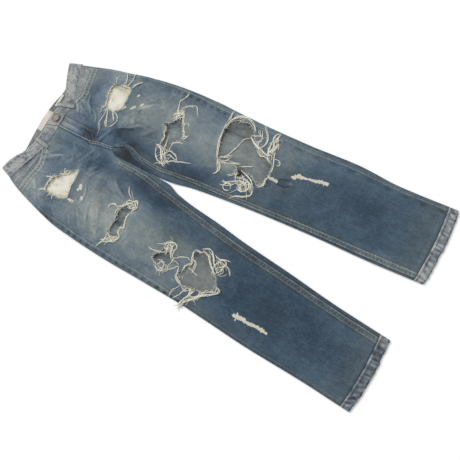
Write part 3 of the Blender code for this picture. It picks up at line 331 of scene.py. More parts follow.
# Soft patches of the wash: x, down, half width, half height, turn in degrees if any, how much paler
FADES = {
    "right": [
        (-14.4, 29.6, 6.0, 9.5, 0.27), (-14.5, 41.0, 6.0, 10.0, 0.15), (-9.0, 30.0, 2.6, 4.0, 20, -0.06),
        (-16.0, 46.0, 4.0, 6.0, 0.1), (-18.0, 10.0, 6.0, 5.0, 0.1), (-13.0, 10.5, 7.0, 4.0, 0.07),
        (-8.0, 36.0, 2.6, 4.5, 0.12), (-3.2, 30.0, 1.6, 10.0, -8, -0.22),
        (-5.2, 41.0, 2.3, 8.0, -10, -0.34), (-3.8, 35.4, 1.7, 3.4, -0.2), (-6.4, 29.2, 1.5, 2.4, 0.09),
        (-3.0, 22.0, 3.0, 3.0, -0.07), (-2.0, 15.0, 2.4, 4.0, -0.05), (-21.5, 17.0, 1.8, 8.0, -0.12),
        (-19.5, 16.0, 2.0, 4.0, -0.01), (-22.0, 30.0, 1.6, 9.0, -0.06), (-9.5, 45.0, 3.0, 6.0, -0.06),
        (-8.0, 53.0, 3.4, 8.0, -0.1), (-15.0, 53.0, 6.0, 4.0, 0.12), (-21.5, 52.0, 2.5, 8.0, 0.06),
        (-8.5, 64.0, 2.4, 5.0, -0.02), (-14.5, 74.0, 5.0, 9.0, -0.1), (-22.8, 74.0, 2.2, 12.0, 0.06),
        (-16.5, 88.0, 6.0, 12.0, -0.07), (-23.0, 95.0, 2.5, 8.0, 0.06), (-11.0, 97.0, 2.0, 6.0, 0.07),
        (-14.0, 22.5, 7.0, 2.4, 10, 0.06), (-19.0, 23.0, 4.0, 3.0, 0.02), (-3.6, 8.6, 3.0, 1.6, -0.09),
        (-5.0, 18.0, 2.6, 2.4, -0.01), (-6.0, 12.0, 3.0, 2.0, -0.04), (-17.0, 66.0, 6.0, 3.0, -0.04),
        (-10.0, 46.2, 1.6, 1.8, 0.06), (-20.4, 51.8, 1.8, 3.0, 0.03), (-9.6, 52.4, 1.4, 2.6, -0.06),
        (-12.2, 73.2, 2.6, 3.0, 0.05), (-8.2, 58.4, 1.6, 2.6, -0.03), (-2.0, 20.0, 1.2, 1.4, 0.06),
        (-2.2, 24.4, 1.4, 1.4, -0.06),
    ],
    "left": [
        (15.0, 29.0, 6.0, 9.0, 0.24), (15.5, 41.0, 7.0, 9.0, 0.18), (12.0, 49.0, 6.0, 8.0, 0.16),
        (19.5, 58.0, 3.4, 8.0, 0.16), (12.0, 63.5, 6.0, 3.0, 0.06), (18.5, 66.0, 4.5, 5.0, 0.1),
        (8.0, 9.0, 2.0, 1.6, 0.09), (12.5, 9.9, 3.0, 1.2, -0.06), (10.0, 23.7, 2.3, 1.6, 20, 0.19),
        (11.5, 30.5, 4.0, 2.5, -0.09), (13.5, 13.5, 5.0, 2.4, 0.1), (19.0, 11.0, 2.5, 5.0, 0.06),
        (4.2, 28.0, 2.2, 8.0, 10, -0.2), (6.5, 25.0, 3.0, 5.0, 30, -0.12),
        (3.4, 40.0, 1.8, 8.0, 5, -0.16), (5.2, 46.5, 2.4, 6.0, -0.24), (5.2, 36.0, 1.6, 4.0, -0.06),
        (3.6, 13.5, 2.2, 5.0, -0.12), (1.2, 16.5, 1.2, 2.6, -0.14), (2.6, 16.8, 1.6, 2.4, -0.13),
        (12.0, 11.0, 3.0, 2.0, -0.06), (19.5, 22.0, 3.0, 5.0, -0.03), (19.6, 16.5, 1.8, 5.0, 0.22),
        (6.0, 15.0, 2.0, 2.0, 0.08), (8.0, 16.0, 3.0, 2.0, -20, 0.05), (8.0, 20.0, 3.0, 2.4, 0.08),
        (5.0, 22.5, 1.8, 2.0, -0.16), (9.0, 88.0, 4.0, 8.0, -0.02), (16.0, 84.0, 4.5, 9.0, -0.08),
        (12.5, 92.0, 5.0, 6.0, -0.07), (20.8, 74.0, 1.6, 12.0, 0.1), (10.8, 67.5, 3.0, 3.0, -0.06),
        (10.6, 62.6, 1.2, 0.8, -0.25), (21.5, 74.0, 1.6, 10.0, 0.04), (6.6, 95.0, 1.4, 8.0, 0.12),
        (14.0, 96.0, 6.0, 6.0, 0.03), (9.5, 72.0, 4.0, 8.0, -0.04), (22.9, 50.0, 1.0, 6.0, 0.1),
        (9.9, 52.2, 1.1, 1.9, 0.19), (7.0, 52.4, 1.0, 3.0, -0.05), (17.2, 66.2, 2.4, 2.0, -0.07),
        (20.2, 40.0, 2.2, 4.0, -0.04), (5.3, 24.3, 1.2, 1.3, 30, 0.11), (3.1, 20.2, 1.0, 1.2, 0.14),
        (2.0, 13.4, 1.0, 1.5, 0.12), (2.0, 16.0, 0.8, 0.9, 0.07), (3.8, 12.0, 0.8, 1.8, 0.17),
        (1.5, 9.0, 0.9, 1.4, -0.1), (3.6, 9.0, 0.8, 1.2, -0.05), (7.7, 27.2, 1.0, 1.4, -0.06),
        (9.6, 27.2, 0.9, 1.2, -0.04),
    ],
}
DARN = [(11.35, 65.0), (12.9, 65.0), (13.95, 68.3), (12.6, 68.4), (11.5, 66.8)]
# down, and how pale the wash is down the front
WASH = {
    "right": [
        (0.0, 0.6), (8.0, 0.66), (12.0, 0.58), (17.0, 0.5), (21.0, 0.52), (27.0, 0.54), (40.0, 0.52),
        (48.0, 0.46), (56.0, 0.44), (64.0, 0.36), (70.0, 0.3), (84.0, 0.31), (97.0, 0.36), (103.0, 0.4),
    ],
    "left": [
        (0.0, 0.6), (8.0, 0.62), (12.0, 0.52), (17.0, 0.52), (21.0, 0.52), (27.0, 0.5), (40.0, 0.48),
        (48.0, 0.46), (56.0, 0.44), (64.0, 0.4), (70.0, 0.37), (84.0, 0.36), (97.0, 0.38), (104.0, 0.42),
    ],
}


# ---------------------------------------------------------------- reading the tables

def ease(value):
    value = np.clip(value, 0.0, 1.0)
    return value * value * (3.0 - 2.0 * value)


def mix(a, b, share):
    return a + (b - a) * share


def shares(count):
    return np.linspace(0.0, 1.0, count)


def smooth(at, xs, ys):
    """The smooth curve through a short table, without overshoot."""
    xs, ys = np.asarray(xs, float), np.asarray(ys, float)
    step = np.diff(xs)
    slope = np.diff(ys) / step
    tangent = np.zeros_like(ys)
    same = slope[:-1] * slope[1:] > 0.0
    total = np.where(same, slope[:-1] + slope[1:], 1.0)
    tangent[1:-1] = np.where(same, 2.0 * slope[:-1] * slope[1:] / total, 0.0)
    tangent[0], tangent[-1] = slope[0], slope[-1]
    at = np.clip(at, xs[0], xs[-1])
    i = np.clip(np.searchsorted(xs, at, side="right") - 1, 0, len(xs) - 2)
    t = (at - xs[i]) / step[i]
    return (ys[i] * (1.0 + 2.0 * t) * (1.0 - t) ** 2 + step[i] * tangent[i] * t * (1.0 - t) ** 2
            + ys[i + 1] * t * t * (3.0 - 2.0 * t) + step[i] * tangent[i + 1] * t * t * (t - 1.0))


def leg(side, what, down):
    """How far across one of a leg's lines is."""
    table = LEGS[side]
    return smooth(down, table[:, 0], table[:, LEG_COLUMNS[what]])


NOISE_SIZE = 97
NOISE_TABLES = {}


def noise(x, y, seed):
    """Smooth noise from -1 to 1, with a cell one unit wide."""
    if seed not in NOISE_TABLES:
        NOISE_TABLES[seed] = np.random.RandomState(seed).uniform(-1.0, 1.0, (NOISE_SIZE, NOISE_SIZE))
    values = NOISE_TABLES[seed]
    i, j = np.floor(x).astype(int), np.floor(y).astype(int)
    u, v = ease(x - i), ease(y - j)
    i, j, i1, j1 = i % NOISE_SIZE, j % NOISE_SIZE, (i + 1) % NOISE_SIZE, (j + 1) % NOISE_SIZE
    return mix(mix(values[i, j], values[i1, j], u), mix(values[i, j1], values[i1, j1], u), v)


def bell(distance, width):
    return np.exp(-(distance / width) ** 2)


def patches(base, rows, x, down):
    """Soft patches added to a base: x, down, half width, half height, a turn in degrees if any, how much."""
    for px, pd, half_x, half_down, *turn, amount in rows:
        cosine, sine = math.cos(math.radians(sum(turn))), math.sin(math.radians(sum(turn)))
        u = ((x - px) * cosine + (down - pd) * sine) / half_x
        v = ((down - pd) * cosine - (x - px) * sine) / half_down
        base = base + amount * np.exp(-(u * u + v * v))
    return base


def close_to(x, down, points, room):
    """Which places are in the box round some points, or less than room outside it."""
    xs, downs = zip(*points)
    return (x > min(xs) - room) & (x < max(xs) + room) \
        & (down > min(downs) - room) & (down < max(downs) + room)


def hem_edge(side, share):
    outer, middle, inner = HEMS[side]
    bow = middle - 0.5 * (outer + inner)
    return mix(outer, inner, share) + 4.0 * bow * share * (1.0 - share)


def lowered(side, x, down):
    """Down, with the hem's slant carried up the lower leg."""
    outer, inner = leg(side, "outer", down), leg(side, "inner", down)
    share = np.clip((x - outer) / (inner - outer), 0.0, 1.0)
    weight = ease((down - HEM_TILT) / (HEMS[side][1] - HEM_DEPTH - HEM_TILT))
    return down + weight * (hem_edge(side, share) - HEMS[side][1])


# ---------------------------------------------------------------- heights and wash

def base_height(down):
    return HIP_BASE * (1.0 - ease((down - SEAT_END) / SEAT_RAMP))


def crease_field(x, down):
    """The creases' height in metres, and how much paler their crests are, with painted shade and light
    beside them.
    """
    x, down = np.broadcast_arrays(x, down)
    height, pale = np.zeros(x.shape), np.zeros(x.shape)
    for x1, down1, x2, down2, bow, rise, width, worn in CREASES:
        near = close_to(x, down, [(x1, down1), (x2, down2)], 4.0 * width + abs(bow))
        if not near.any():
            continue
        px, pd = x[near], down[near]
        run = math.hypot(x2 - x1, down2 - down1)
        ux, ud = (x2 - x1) / run, (down2 - down1) / run
        t = ((px - x1) * ux + (pd - down1) * ud) / run
        away = (px - x1) * -ud + (pd - down1) * ux - bow * 4.0 * t * (1.0 - t)
        ends = ease(t / 0.3) * ease((1.0 - t) / 0.3)
        crest = bell(away + 0.15 * width * noise(t * run / 2.0, 0.0, 5), width)
        flank = bell(away - 1.7 * width, 1.1 * width) + bell(away + 1.7 * width, 1.1 * width)
        height[near] += ends * rise * MM * (crest - 0.22 * flank)
        pale[near] += ends * worn * (crest - 0.35 * flank)
    for k, (line, width, worn, rise) in enumerate(CRESTS):
        near = close_to(x, down, line, 5.0 * width)
        if not near.any():
            continue
        d, at, _, near_d, _ = nearest(curved(line, 3), x[near], down[near])
        length = along(line)[2][-1]
        ends = ease(at / (0.25 * length)) * ease((length - at) / (0.3 * length))
        ends = 1.35 * ends * (0.8 + 0.35 * noise(at / 0.9, 0.0, 300 + k))
        # Painted shade beside the crest, strongest on its hem's side
        painted_shade_side = (down[near] > near_d).astype(float)
        height[near] += ends * rise * MM * (bell(d, 1.25 * width)
                                            - 0.3 * bell(d - 2.2 * width, 1.3 * width))
        pale[near] += ends * worn * (bell(d, width)
                                     - (0.30 + 0.35 * painted_shade_side) * bell(d - 1.9 * width, 1.1 * width))
    # Painted light and shade on the flat facets beside the pressed folds
    for line, paler, reach in PAINTED_FACET_SHADING:
        near = close_to(x, down, line, 2.5 * reach)
        if near.any():
            d, at, _, _, side = nearest(line, x[near], down[near])
            length = along(line)[2][-1]
            ends = ease((at + 0.2) / (0.3 * length)) * ease((length + 0.2 - at) / (0.3 * length))
            pale[near] += paler * side * ends * np.tanh(d / 0.14) * bell(d, reach)
            height[near] += 0.35 * MM * ends * bell(d, 0.3)
    return height, pale


def aged(side, x, down):
    """How much greener and greyer the cloth has aged, from 0 to 1."""
    share = patches(0.0 * x + 0.0 * down, AGED[side], x, down)
    u = (x - leg(side, "inseam", down)) * OUTWARD[side]
    share = share + 0.9 * ease((u + 0.6) / 0.4) * (1.0 - ease((u - 1.4) / 0.6)) * ease((down - 25.0) / 4.0)
    v = (x - leg(side, "outseam", down)) * OUTWARD[side]
    share = share + 0.45 * ease(v + 1.0) * ease((down - 14.0) / 6.0)
    scoop = nearest(SCOOPS[side], x, down)[0] if np.min(down) < 12.0 else 9.0
    return share + 0.55 * ease((down - 92.0) / 8.0) + 0.9 * bell(scoop, 1.3) \
        + 0.5 * (1.0 - ease((down - 8.0) / 4.0))


def crumple(x, down):
    """Fine uneven creases, strongest over the hips: from 0 to 1 along their crests."""
    warp = 1.1 * noise(x / 3.0, down / 3.0, 14)
    crest = 0.0 * x
    for scale, seed in ((4.6, 15), (2.7, 17)):
        line = noise((x + warp) / scale, (down - 0.6 * warp) / (0.75 * scale), seed)
        strength = ease(0.6 + noise(x / (0.8 * scale), down / (0.9 * scale), seed + 1))
        crest = crest + bell(line, 0.13) * strength
    return crest * mix(1.0, 0.34, ease((down - 24.0) / 9.0))


def front_height(side, x, down):
    """Top of the cloth on the upper side of a leg or hip."""
    edge = np.minimum(np.abs(x - leg(side, "outer", down)), np.abs(x - leg(side, "inner", down)))
    legs = mix(LEG_MIDDLE, LEG_EDGE, np.exp(-(edge / EDGE_WIDTH) ** 2 * 3.0))
    hem_start = HEMS[side][1] - HEM_DEPTH
    legs = mix(legs, HEM_TOP - 0.5 * (HEM_WALL - DENIM), ease((down - HEM_TILT) / (hem_start - HEM_TILT)))
    height = mix(HIP_TOP, legs, ease((down - SEAT_END) / SEAT_RAMP)) + crease_field(x, down)[0]
    soft = 0.55 * noise(x / 5.5, down / 8.0, 11) + 0.3 * noise(x / 2.3, down / 3.4, 12)
    height = height + MM * (0.35 + soft + 0.55 * crumple(x, down)) * ease((down - 6.0) / 5.0)
    return np.maximum(height, 0.5 * MM + LEG_MIDDLE - 0.4 * MM)


def pocket_lift(side, x, down):
    """How much the pocket's layers lift a front."""
    across = ease((np.abs(x) - 7.0) / 1.4)
    return FACING_LAYERS[side] * LAYER * across * (1.0 - np.clip((down - 11.0) / 6.0, 0.0, 1.0))


def fly_lift(x, down):
    """How much the right front under the fly lifts the left one."""
    across = 1.0 - ease((x - leg("left", "inseam", down) - FLY_LAP) / FLY_LAP)
    return LAYER * across * (1.0 - np.clip((down - FLY_END) / 3.0, 0.0, 1.0))


def darn(x, down):
    """The small dark patch below the left knee."""
    near = (np.abs(x - 12.6) < 3.0) & (np.abs(down - 66.7) < 3.5)
    tone = np.zeros(np.shape(near))
    if near.any():
        px, pd = (np.broadcast_to(value, near.shape)[near] for value in (x, down))
        d = nearest(DARN, px, pd, closed=True)[0]
        pale = 0.30 * bell(np.hypot(px - 12.75, 0.8 * (pd - 68.1)), 0.34) \
            + 0.26 * bell(np.hypot(1.5 * (px - 13.75), 0.6 * (pd - 68.0)), 0.4)
        cloth = 0.06 * noise(px / 0.35, pd / 0.9, 24) - 0.13 * ease((67.6 - pd) / 1.6)
        tone[near] = within(DARN, px, pd) * cloth - 0.23 * bell(d, 0.17) + pale
    return tone


def wash_and_shade(side, x, down):
    """How pale the cloth is washed, from 0, dark, to 1, with the painted light and shade of the creases."""
    tone = patches(smooth(down, *zip(*WASH[side])), FADES[side], x, down)
    cloudy = noise(x / 3.1, down / 4.5, 21) + 0.6 * noise(x / 1.3, down / 1.9, 22)
    tone = tone + 0.026 * cloudy + crease_field(x, down)[1] + 0.045 * crumple(x, down) - 0.010
    return tone + darn(x, down) if side == "left" else tone


def along(points, closed=False):
    """Ends of a line's pieces and how far along it each begins."""
    points = np.asarray(points, float)
    if closed:
        points = np.vstack([points, points[:1]])
    run = np.hypot(*(points[1:] - points[:-1]).T)
    return points, run, np.concatenate([[0.0], np.cumsum(run)])


def nearest(points, x, down, closed=False):
    """For each place: the distance to a line, how far along it that is, the nearest point, and the side
    of the line as a sign."""
    points, run, start = along(points, closed)
    best = np.full(np.shape(x), 1e9)
    where, near_x, near_d, sign = (np.zeros(np.shape(x)) for _ in range(4))
    for (ax, ad), (bx, bd), length, begun in zip(points[:-1], points[1:], run, start):
        t = np.clip(((x - ax) * (bx - ax) + (down - ad) * (bd - ad)) / (length * length + 1e-12), 0.0, 1.0)
        px, pd = ax + t * (bx - ax), ad + t * (bd - ad)
        away = np.hypot(x - px, down - pd)
        closer = away < best
        best = np.where(closer, away, best)
        where = np.where(closer, begun + t * length, where)
        near_x, near_d = np.where(closer, px, near_x), np.where(closer, pd, near_d)
        turn = (bx - ax) * (down - ad) - (bd - ad) * (x - ax)
        sign = np.where(closer, np.sign(turn), sign)
    return best, where, near_x, near_d, sign


def folds_along(rows, x, down, width):
    """The sum of folds along straight lines: x and down of both ends, and how high."""
    height = 0.0 * x
    for x1, down1, x2, down2, rise in rows:
        height = height + rise * bell(nearest([(x1, down1), (x2, down2)], x, down)[0], width)
    return height


def within(outline, x, down):
    """Which places are inside an outline."""
    xs, downs = zip(*outline)
    near = (x > min(xs)) & (x < max(xs)) & (down > min(downs)) & (down < max(downs))
    px, pd = x[near], down[near]
    inside = np.zeros(px.shape, bool)
    for (ax, ad), (bx, bd) in zip(outline, list(outline[1:]) + [outline[0]]):
        if ad != bd:
            crosses = (ad > pd) != (bd > pd)
            inside ^= crosses & (px < (bx - ax) * (pd - ad) / (bd - ad) + ax)
    result = np.zeros(np.shape(x), bool)
    result[near] = inside
    return result


def ragged(outline, seed):
    """A rip's outline with uneven torn edges."""
    points, _, start = along(outline, closed=True)
    at = np.arange(0.0, start[-1], TORN_STEP)
    x, down = np.interp(at, start, points[:, 0]), np.interp(at, start, points[:, 1])
    tangent = np.stack([np.roll(x, -1) - np.roll(x, 1), np.roll(down, -1) - np.roll(down, 1)])
    tangent /= np.hypot(*tangent) + 1e-9
    out = TORN_DEPTH * (noise(at / 1.1, 0.0, seed) + 0.8 * noise(at / 0.45, 0.0, seed + 1))
    return [(float(a), float(b)) for a, b in zip(x - tangent[1] * out, down + tangent[0] * out)]


TORN = {side: {name: ragged(outline, 40 + 7 * i) for i, (name, outline) in enumerate(rips.items())}
        for side, rips in RIPS.items()}

# ---------------------------------------------------------------- seams and wear

# Worn places where the white weft shows: side, line, half width
SCUFFS = [
    ("right", [(-20.1, 71.2), (-19.9, 73.5)], 0.62),
    ("right", [(-20.2, 73.0), (-20.0, 76.0), (-20.1, 79.3)], 0.36),
    ("right", [(-20.7, 71.8), (-19.4, 71.6)], 0.3), ("right", [(-19.9, 76.4), (-19.9, 78.4)], 0.5),
    ("left", [(14.7, 67.7), (15.5, 68.8)], 0.55),
    ("left", [(15.2, 68.6), (15.8, 71.2), (16.0, 72.4)], 0.45),
    ("left", [(15.9, 72.2), (16.4, 73.8), (16.5, 75.3)], 0.52),
    ("left", [(12.0, 62.2), (12.05, 64.6)], 0.42), ("right", [(-12.1, 21.4), (-10.9, 21.7)], 0.42),
    ("right", [(-11.4, 21.9), (-10.7, 21.3)], 0.3), ("right", [(-13.7, 23.6), (-13.3, 23.3)], 0.34),
    ("right", [(-15.3, 20.2), (-15.2, 21.6)], 0.28), ("left", [(11.8, 20.1), (12.3, 20.4)], 0.34),
    ("left", [(12.7, 22.3), (13.4, 22.8)], 0.34), ("left", [(16.4, 21.9), (16.7, 22.2)], 0.3),
    ("left", [(14.5, 24.0), (15.0, 24.6)], 0.26),
]
FLY_STITCH = [(2.95, 7.5), (3.0, 11.5), (2.85, 14.2), (2.2, 16.2), (1.2, 17.4), (0.45, 17.9)]
FLY_STITCH_INNER = [(2.25, 7.5), (2.3, 11.5), (2.15, 13.8), (1.6, 15.6), (0.8, 16.7), (0.25, 17.1)]
CROTCH_SEAM = [(0.12, 17.2), (0.45, 18.2), (0.85, 20.0), (1.05, 21.8), (1.35, 23.4)]
FLY_EDGE = [(0.12, 7.2), (0.10, 12.0), (0.12, 17.2)]


def marks(at, spacing, seed):
    """Uneven dark marks along a seam, as 0 to 1."""
    phase = at / spacing + 0.25 * noise(at / (3.0 * spacing), 0.0, seed)
    strength = 0.6 + 0.4 * noise(at / spacing, 0.5, seed + 1)
    return strength * bell(phase - np.floor(phase) - 0.5, 0.22)


def rope(at, slant, seed):
    """The twisted puckers of a worn seam, from -1 to 1."""
    twist = np.sin(2.0 * math.pi * (at + slant) / ROPE_PITCH + 1.6 * noise(at / 2.1, 0.0, seed))
    return 0.65 * twist + 0.5 * noise(at / 0.8, slant, seed + 1)


# How far outward of the inseam's edge its second row of stitches runs: down and cm
SECOND_ROW = {
    "right": [
        (24.0, 0.8), (32.0, 1.0), (40.0, 1.25), (44.0, 1.0), (56.0, 1.3), (80.0, 1.3), (103.0, 1.3),
    ],
    "left": [
        (24.0, 0.5), (36.0, 0.75), (50.0, 0.9), (68.0, 0.95), (80.0, 1.05), (92.0, 1.2), (104.0, 1.1),
    ],
}


def leg_seams(side, x, down):
    """Height and wash that a leg's two long seams add, with a painted shadow just beyond the inseam's edge.
    """
    right = side == "right"
    u = (x - leg(side, "inseam", down)) * OUTWARD[side]
    on = ease((down - 24.5) / 3.0)
    twist = rope(down, 0.7 * u, 31)
    worn = 0.75 + 0.5 * noise(down / 2.4, 0.0, 33)
    second = np.interp(down, *zip(*SECOND_ROW[side]))
    lines = bell(u - 0.12, 0.10) * worn + (0.30 if right else 0.9) * bell(u - second, 0.11) * (1.5 - worn)
    plateau = ease((u + 0.02) / 0.1) * (1.0 - ease((u - second - 0.1) / 0.12))
    between = marks(down, 0.85, 34) * bell((u - 0.52 * second - 0.05) / (0.42 * second), 0.75)
    height = on * MM * (0.5 * lines + plateau * (0.35 + 0.22 * twist) - 0.35 * between)
    mottled = 0.07 + 0.05 * ease((down - 60.0) / 20.0) + 0.09 * twist \
        + 0.10 * noise(u / 0.16, down / 0.28, 45)
    # The last term is a painted shadow just beyond the inseam, where the front's edge shades the strip below
    tone = on * (0.38 * lines + mottled * plateau - 0.30 * between - 0.10 * bell(u - second - 0.25, 0.16)
                 - 0.20 * bell(u + 0.10, 0.09) * (1.0 + 0.6 * noise(down / 0.6, 0.0, 36)))
    v = (x - leg(side, "outseam", down)) * OUTWARD[side]
    twist = rope(down, 0.7 * v, 35)
    strength = ease((down - (8.5 if right else 8.0)) / 2.0)
    if right:
        strength = strength * (0.35 + 0.65 * (1.0 - ease((down - 56.0) / 8.0)))
        dark = marks(down, 2.05, 37) * bell(v - 0.66, 0.34) * ease((down - 14.0) / 4.0)
        tone = tone + strength * (0.36 * bell(v + 0.04, 0.10) * (0.85 + 0.5 * twist) - 0.52 * dark
                                  + 0.07 * bell(v - 0.3, 0.2) - 0.12 * bell(v + 0.24, 0.12))
    else:
        dark = 0.5 * marks(down, 4.3, 39) * bell(v + 0.72, 0.45) * ease((down - 60.0) / 6.0)
        dark = dark + 1.1 * marks(down, 1.9, 38) * bell(v + 0.75, 0.42) * ease((down - 27.0) / 6.0) \
            * (1.0 - ease((down - 50.0) / 4.0)) * (0.75 + 0.5 * noise(down / 3.0, 0.0, 40))
        tone = tone + strength * (0.32 * bell(v - 0.02, 0.10) * (0.85 + 0.5 * twist) - 0.44 * dark
                                  + 0.10 * bell(v - 0.6, 0.5) * ease((down - 40.0) / 10.0))
    edge = 0.45 * bell(v, 0.2) * (1.0 + 0.4 * twist) + 0.25 * bell(v, 0.5) - 0.5 * dark
    return height + MM * strength * edge, tone


def hip_seams(side, x, down):
    """The same for the fly, the crotch seam, the pocket's edge and the waistband's seam."""
    x, down = np.broadcast_arrays(x, down)
    all_height, all_tone = np.zeros(x.shape), np.zeros(x.shape)
    near = down < 26.0
    x, down = x[near], down[near]
    d, at, _, _, _ = nearest(curved(SCOOPS[side]), x, down)
    twist = rope(at, 0.8 * d, 51)
    ticks = marks(at, 0.72, 53)
    height = MM * (0.7 * bell(d - 0.14, 0.20) * (1.0 + 0.4 * twist) + 0.4 * bell(d - 1.34, 0.15)
                   - 0.6 * ticks * bell(d - 0.85, 0.26))
    tone = 0.42 * bell(d - 0.16, 0.22) * (0.8 + 0.5 * twist) - 0.50 * ticks * bell(d - 0.90, 0.27) \
        + 0.16 * marks(at + 0.36, 0.72, 53) * bell(d - 0.90, 0.3)
    tone += 0.28 * bell(d - 1.36, 0.18) * (0.7 + 0.6 * twist) - 0.12 * bell(d - 1.72, 0.2)
    d, at, _, _, _ = nearest(curved(CROTCH_SEAM), x, down)
    twist = rope(at, 0.8 * x, 55)
    height += MM * (0.9 * bell(d, 0.30) * (1.0 + 0.35 * twist))
    tone += 0.44 * bell(d - 0.24, 0.11) * (0.8 + 0.5 * twist) - 0.24 * bell(d, 0.10) \
        - 0.26 * bell(d - 0.58, 0.17)
    d, at, _, _, _ = nearest(FLY_EDGE, x, down)
    if side == "left":
        twist = rope(at, 0.8 * x, 57)
        fly = ease((down - 7.2) / 0.8) * (1.0 - ease((down - 17.6) / 0.8))
        height += MM * 0.9 * bell(d - 0.1, 0.18) * (1.0 + 0.35 * twist)
        tone += 0.42 * bell(d - 0.10, 0.13) * (0.8 + 0.4 * twist) - 0.18 * bell(d - 0.42, 0.14)
        tone += fly * (0.26 * bell(x - 1.35, 0.55) * (1.0 - ease((down - 11.0) / 3.0))
                       - 0.16 * bell(x - 2.2, 0.22)
                       + 0.16 * bell(x - 2.7, 0.2) * (1.0 - ease((down - 12.0) / 3.0))
                       - 0.10 * bell(x - 3.4, 0.4))
        stain = bell((x - 2.0) / 1.5, 1.0) * bell((down - 15.6) / 2.6, 1.0)
        tone += stain * (-0.26 + 0.26 * noise(x / 0.3, down / 0.55, 60)) * ease((x - 0.25) / 0.4)
        tone += fly * 0.17 * bell((x - 2.2) / 1.7, 1.0) * bell((down - 10.6) / 3.2, 1.0) \
            + fly * 0.07 * noise(x / 0.22, down / 1.3, 63) * bell((x - 2.0) / 1.6, 1.0)
        for line, gain in ((FLY_STITCH, 0.16), (FLY_STITCH_INNER, 0.12)):
            d, at, _, _, _ = nearest(curved(line), x, down)
            worn = gain * (0.7 + 0.6 * noise(at / 1.1, 0.0, 59))
            tone += worn * bell(d, 0.14) - 0.8 * gain * bell(d - 0.36, 0.14)
            height -= MM * 0.35 * bell(d, 0.14)
    else:
        # Painted shadow that the left front's fly edge casts on the right front
        tone -= 0.26 * bell(d, 0.4)
    d, at, _, _, _ = nearest([row[2:] for row in BAND_FRONTS[side]], x, down)
    tone += 0.20 * bell(d - 0.34, 0.16) * (0.6 + 0.6 * noise(at / 0.5, d, 65)) \
        - 0.34 * marks(at, 0.45, 64) * bell(d - 0.22, 0.16)
    height += 1.1 * MM * bell(d, 0.5)
    all_height[near], all_tone[near] = height, tone
    return all_height, all_tone


def bareness(side, x, down):
    """How much of the white weft shows, from 0 to 1."""
    bare = np.zeros(x.shape)
    for where, line, half_width in SCUFFS:
        near = (np.abs(x - line[0][0]) < 6.0) & (np.abs(down - line[0][1]) < 9.0)
        if where == side and near.any():
            px, pd = x[near], down[near]
            d = nearest(line, px, pd)[0] + 0.22 * noise(px / 0.5, pd / 0.28, 61) \
                + 0.12 * noise(px / 0.3, pd / 0.9, 62)
            bare[near] = np.maximum(bare[near], 0.95 - ease((d - 0.35 * half_width) / (0.9 * half_width)))
    return bare


# ---------------------------------------------------------------- finishes

# How much darker the colours are than they look, in linear light
GAIN = 0.86

def new_finish(name, roughness, sheen):
    finish = bpy.data.materials.new(name)
    finish.use_nodes = True
    shader = finish.node_tree.nodes["Principled BSDF"]
    for key, value in (("Roughness", roughness), ("Sheen Weight", sheen), ("Sheen Roughness", 0.6),
                       ("Specular IOR Level", 0.25)):
        shader.inputs[key].default_value = value
    return finish, finish.node_tree, shader


def add_node(tree, kind, **settings):
    node = tree.nodes.new(kind)
    for key, value in settings.items():
        setattr(node, key, value)
    return node


def attribute(tree, name):
    return add_node(tree, "ShaderNodeAttribute", attribute_name=name).outputs["Fac"]


def math_node(tree, operation, a, b, clamp=False):
    node = add_node(tree, "ShaderNodeMath", operation=operation, use_clamp=clamp)
    for socket, value in zip(node.inputs, (a, b)):
        if isinstance(value, (int, float)):
            socket.default_value = value
        else:
            tree.links.new(value, socket)
    return node.outputs[0]


def product(tree, a, b, clamp=False):
    return math_node(tree, "MULTIPLY", a, b, clamp)


def mapped(tree, scale=(1.0, 1.0, 1.0), turn=0.0):
    """Places on the piece in metres, scaled along X, Y and Z and turned about Z."""
    mapping = add_node(tree, "ShaderNodeMapping")
    mapping.inputs["Scale"].default_value = scale
    mapping.inputs["Rotation"].default_value = (0.0, 0.0, turn)
    tree.links.new(add_node(tree, "ShaderNodeTexCoord").outputs["Object"], mapping.inputs["Vector"])
    return mapping.outputs["Vector"]


def texture(tree, kind, where, numbers, **settings):
    """The outputs of a texture node with numbers on its sockets."""
    node = add_node(tree, kind, **settings)
    for key, value in numbers.items():
        node.inputs[key].default_value = value
    tree.links.new(where, node.inputs["Vector"])
    return node.outputs


def grain(tree, scale, size=1.0, detail=2.0):
    """Noise on the cloth about zero: scale is per metre, one for all or one each along X, Y and Z."""
    where = mapped(tree, scale if isinstance(scale, tuple) else (scale, scale, scale))
    value = texture(tree, "ShaderNodeTexNoise", where, {"Scale": 1.0, "Detail": detail})["Fac"]
    return product(tree, math_node(tree, "SUBTRACT", value, 0.5), size)


def total(tree, *values, clamp=False):
    result = values[0]
    for value in values[1:]:
        result = math_node(tree, "ADD", result, value, clamp)
    return result


def colours(tree, value, shades, gain=GAIN):
    """A ramp of shades: position, red, green and blue."""
    ramp = add_node(tree, "ShaderNodeValToRGB")
    elements = ramp.color_ramp.elements
    while len(elements) < len(shades):
        elements.new(0.5)
    for element, (position, *shade) in zip(elements, shades):
        element.position = position
        element.color = (*srgb(*shade, gain), 1.0)
    tree.links.new(value, ramp.inputs["Fac"])
    return ramp.outputs["Color"]


def blended(tree, share, a, b):
    node = add_node(tree, "ShaderNodeMix", data_type="RGBA")
    for socket, value in ((node.inputs[0], share), (node.inputs[6], a), (node.inputs[7], b)):
        if isinstance(value, tuple):
            socket.default_value = (*value, 1.0)
        else:
            tree.links.new(value, socket)
    return node.outputs[2]


def bumped(tree, shader, height, distance, strength):
    bump = add_node(tree, "ShaderNodeBump")
    bump.inputs["Distance"].default_value = distance
    bump.inputs["Strength"].default_value = strength
    tree.links.new(height, bump.inputs["Height"])
    tree.links.new(bump.outputs["Normal"], shader.inputs["Normal"])


def srgb(red, green, blue, gain=GAIN):
    """A colour from its 0 to 255 values, made darker or lighter in linear light."""
    linear = [((c / 255.0 + 0.055) / 1.055) ** 2.4 if c > 10 else c / 3294.6 for c in (red, green, blue)]
    return tuple(gain * c for c in linear)


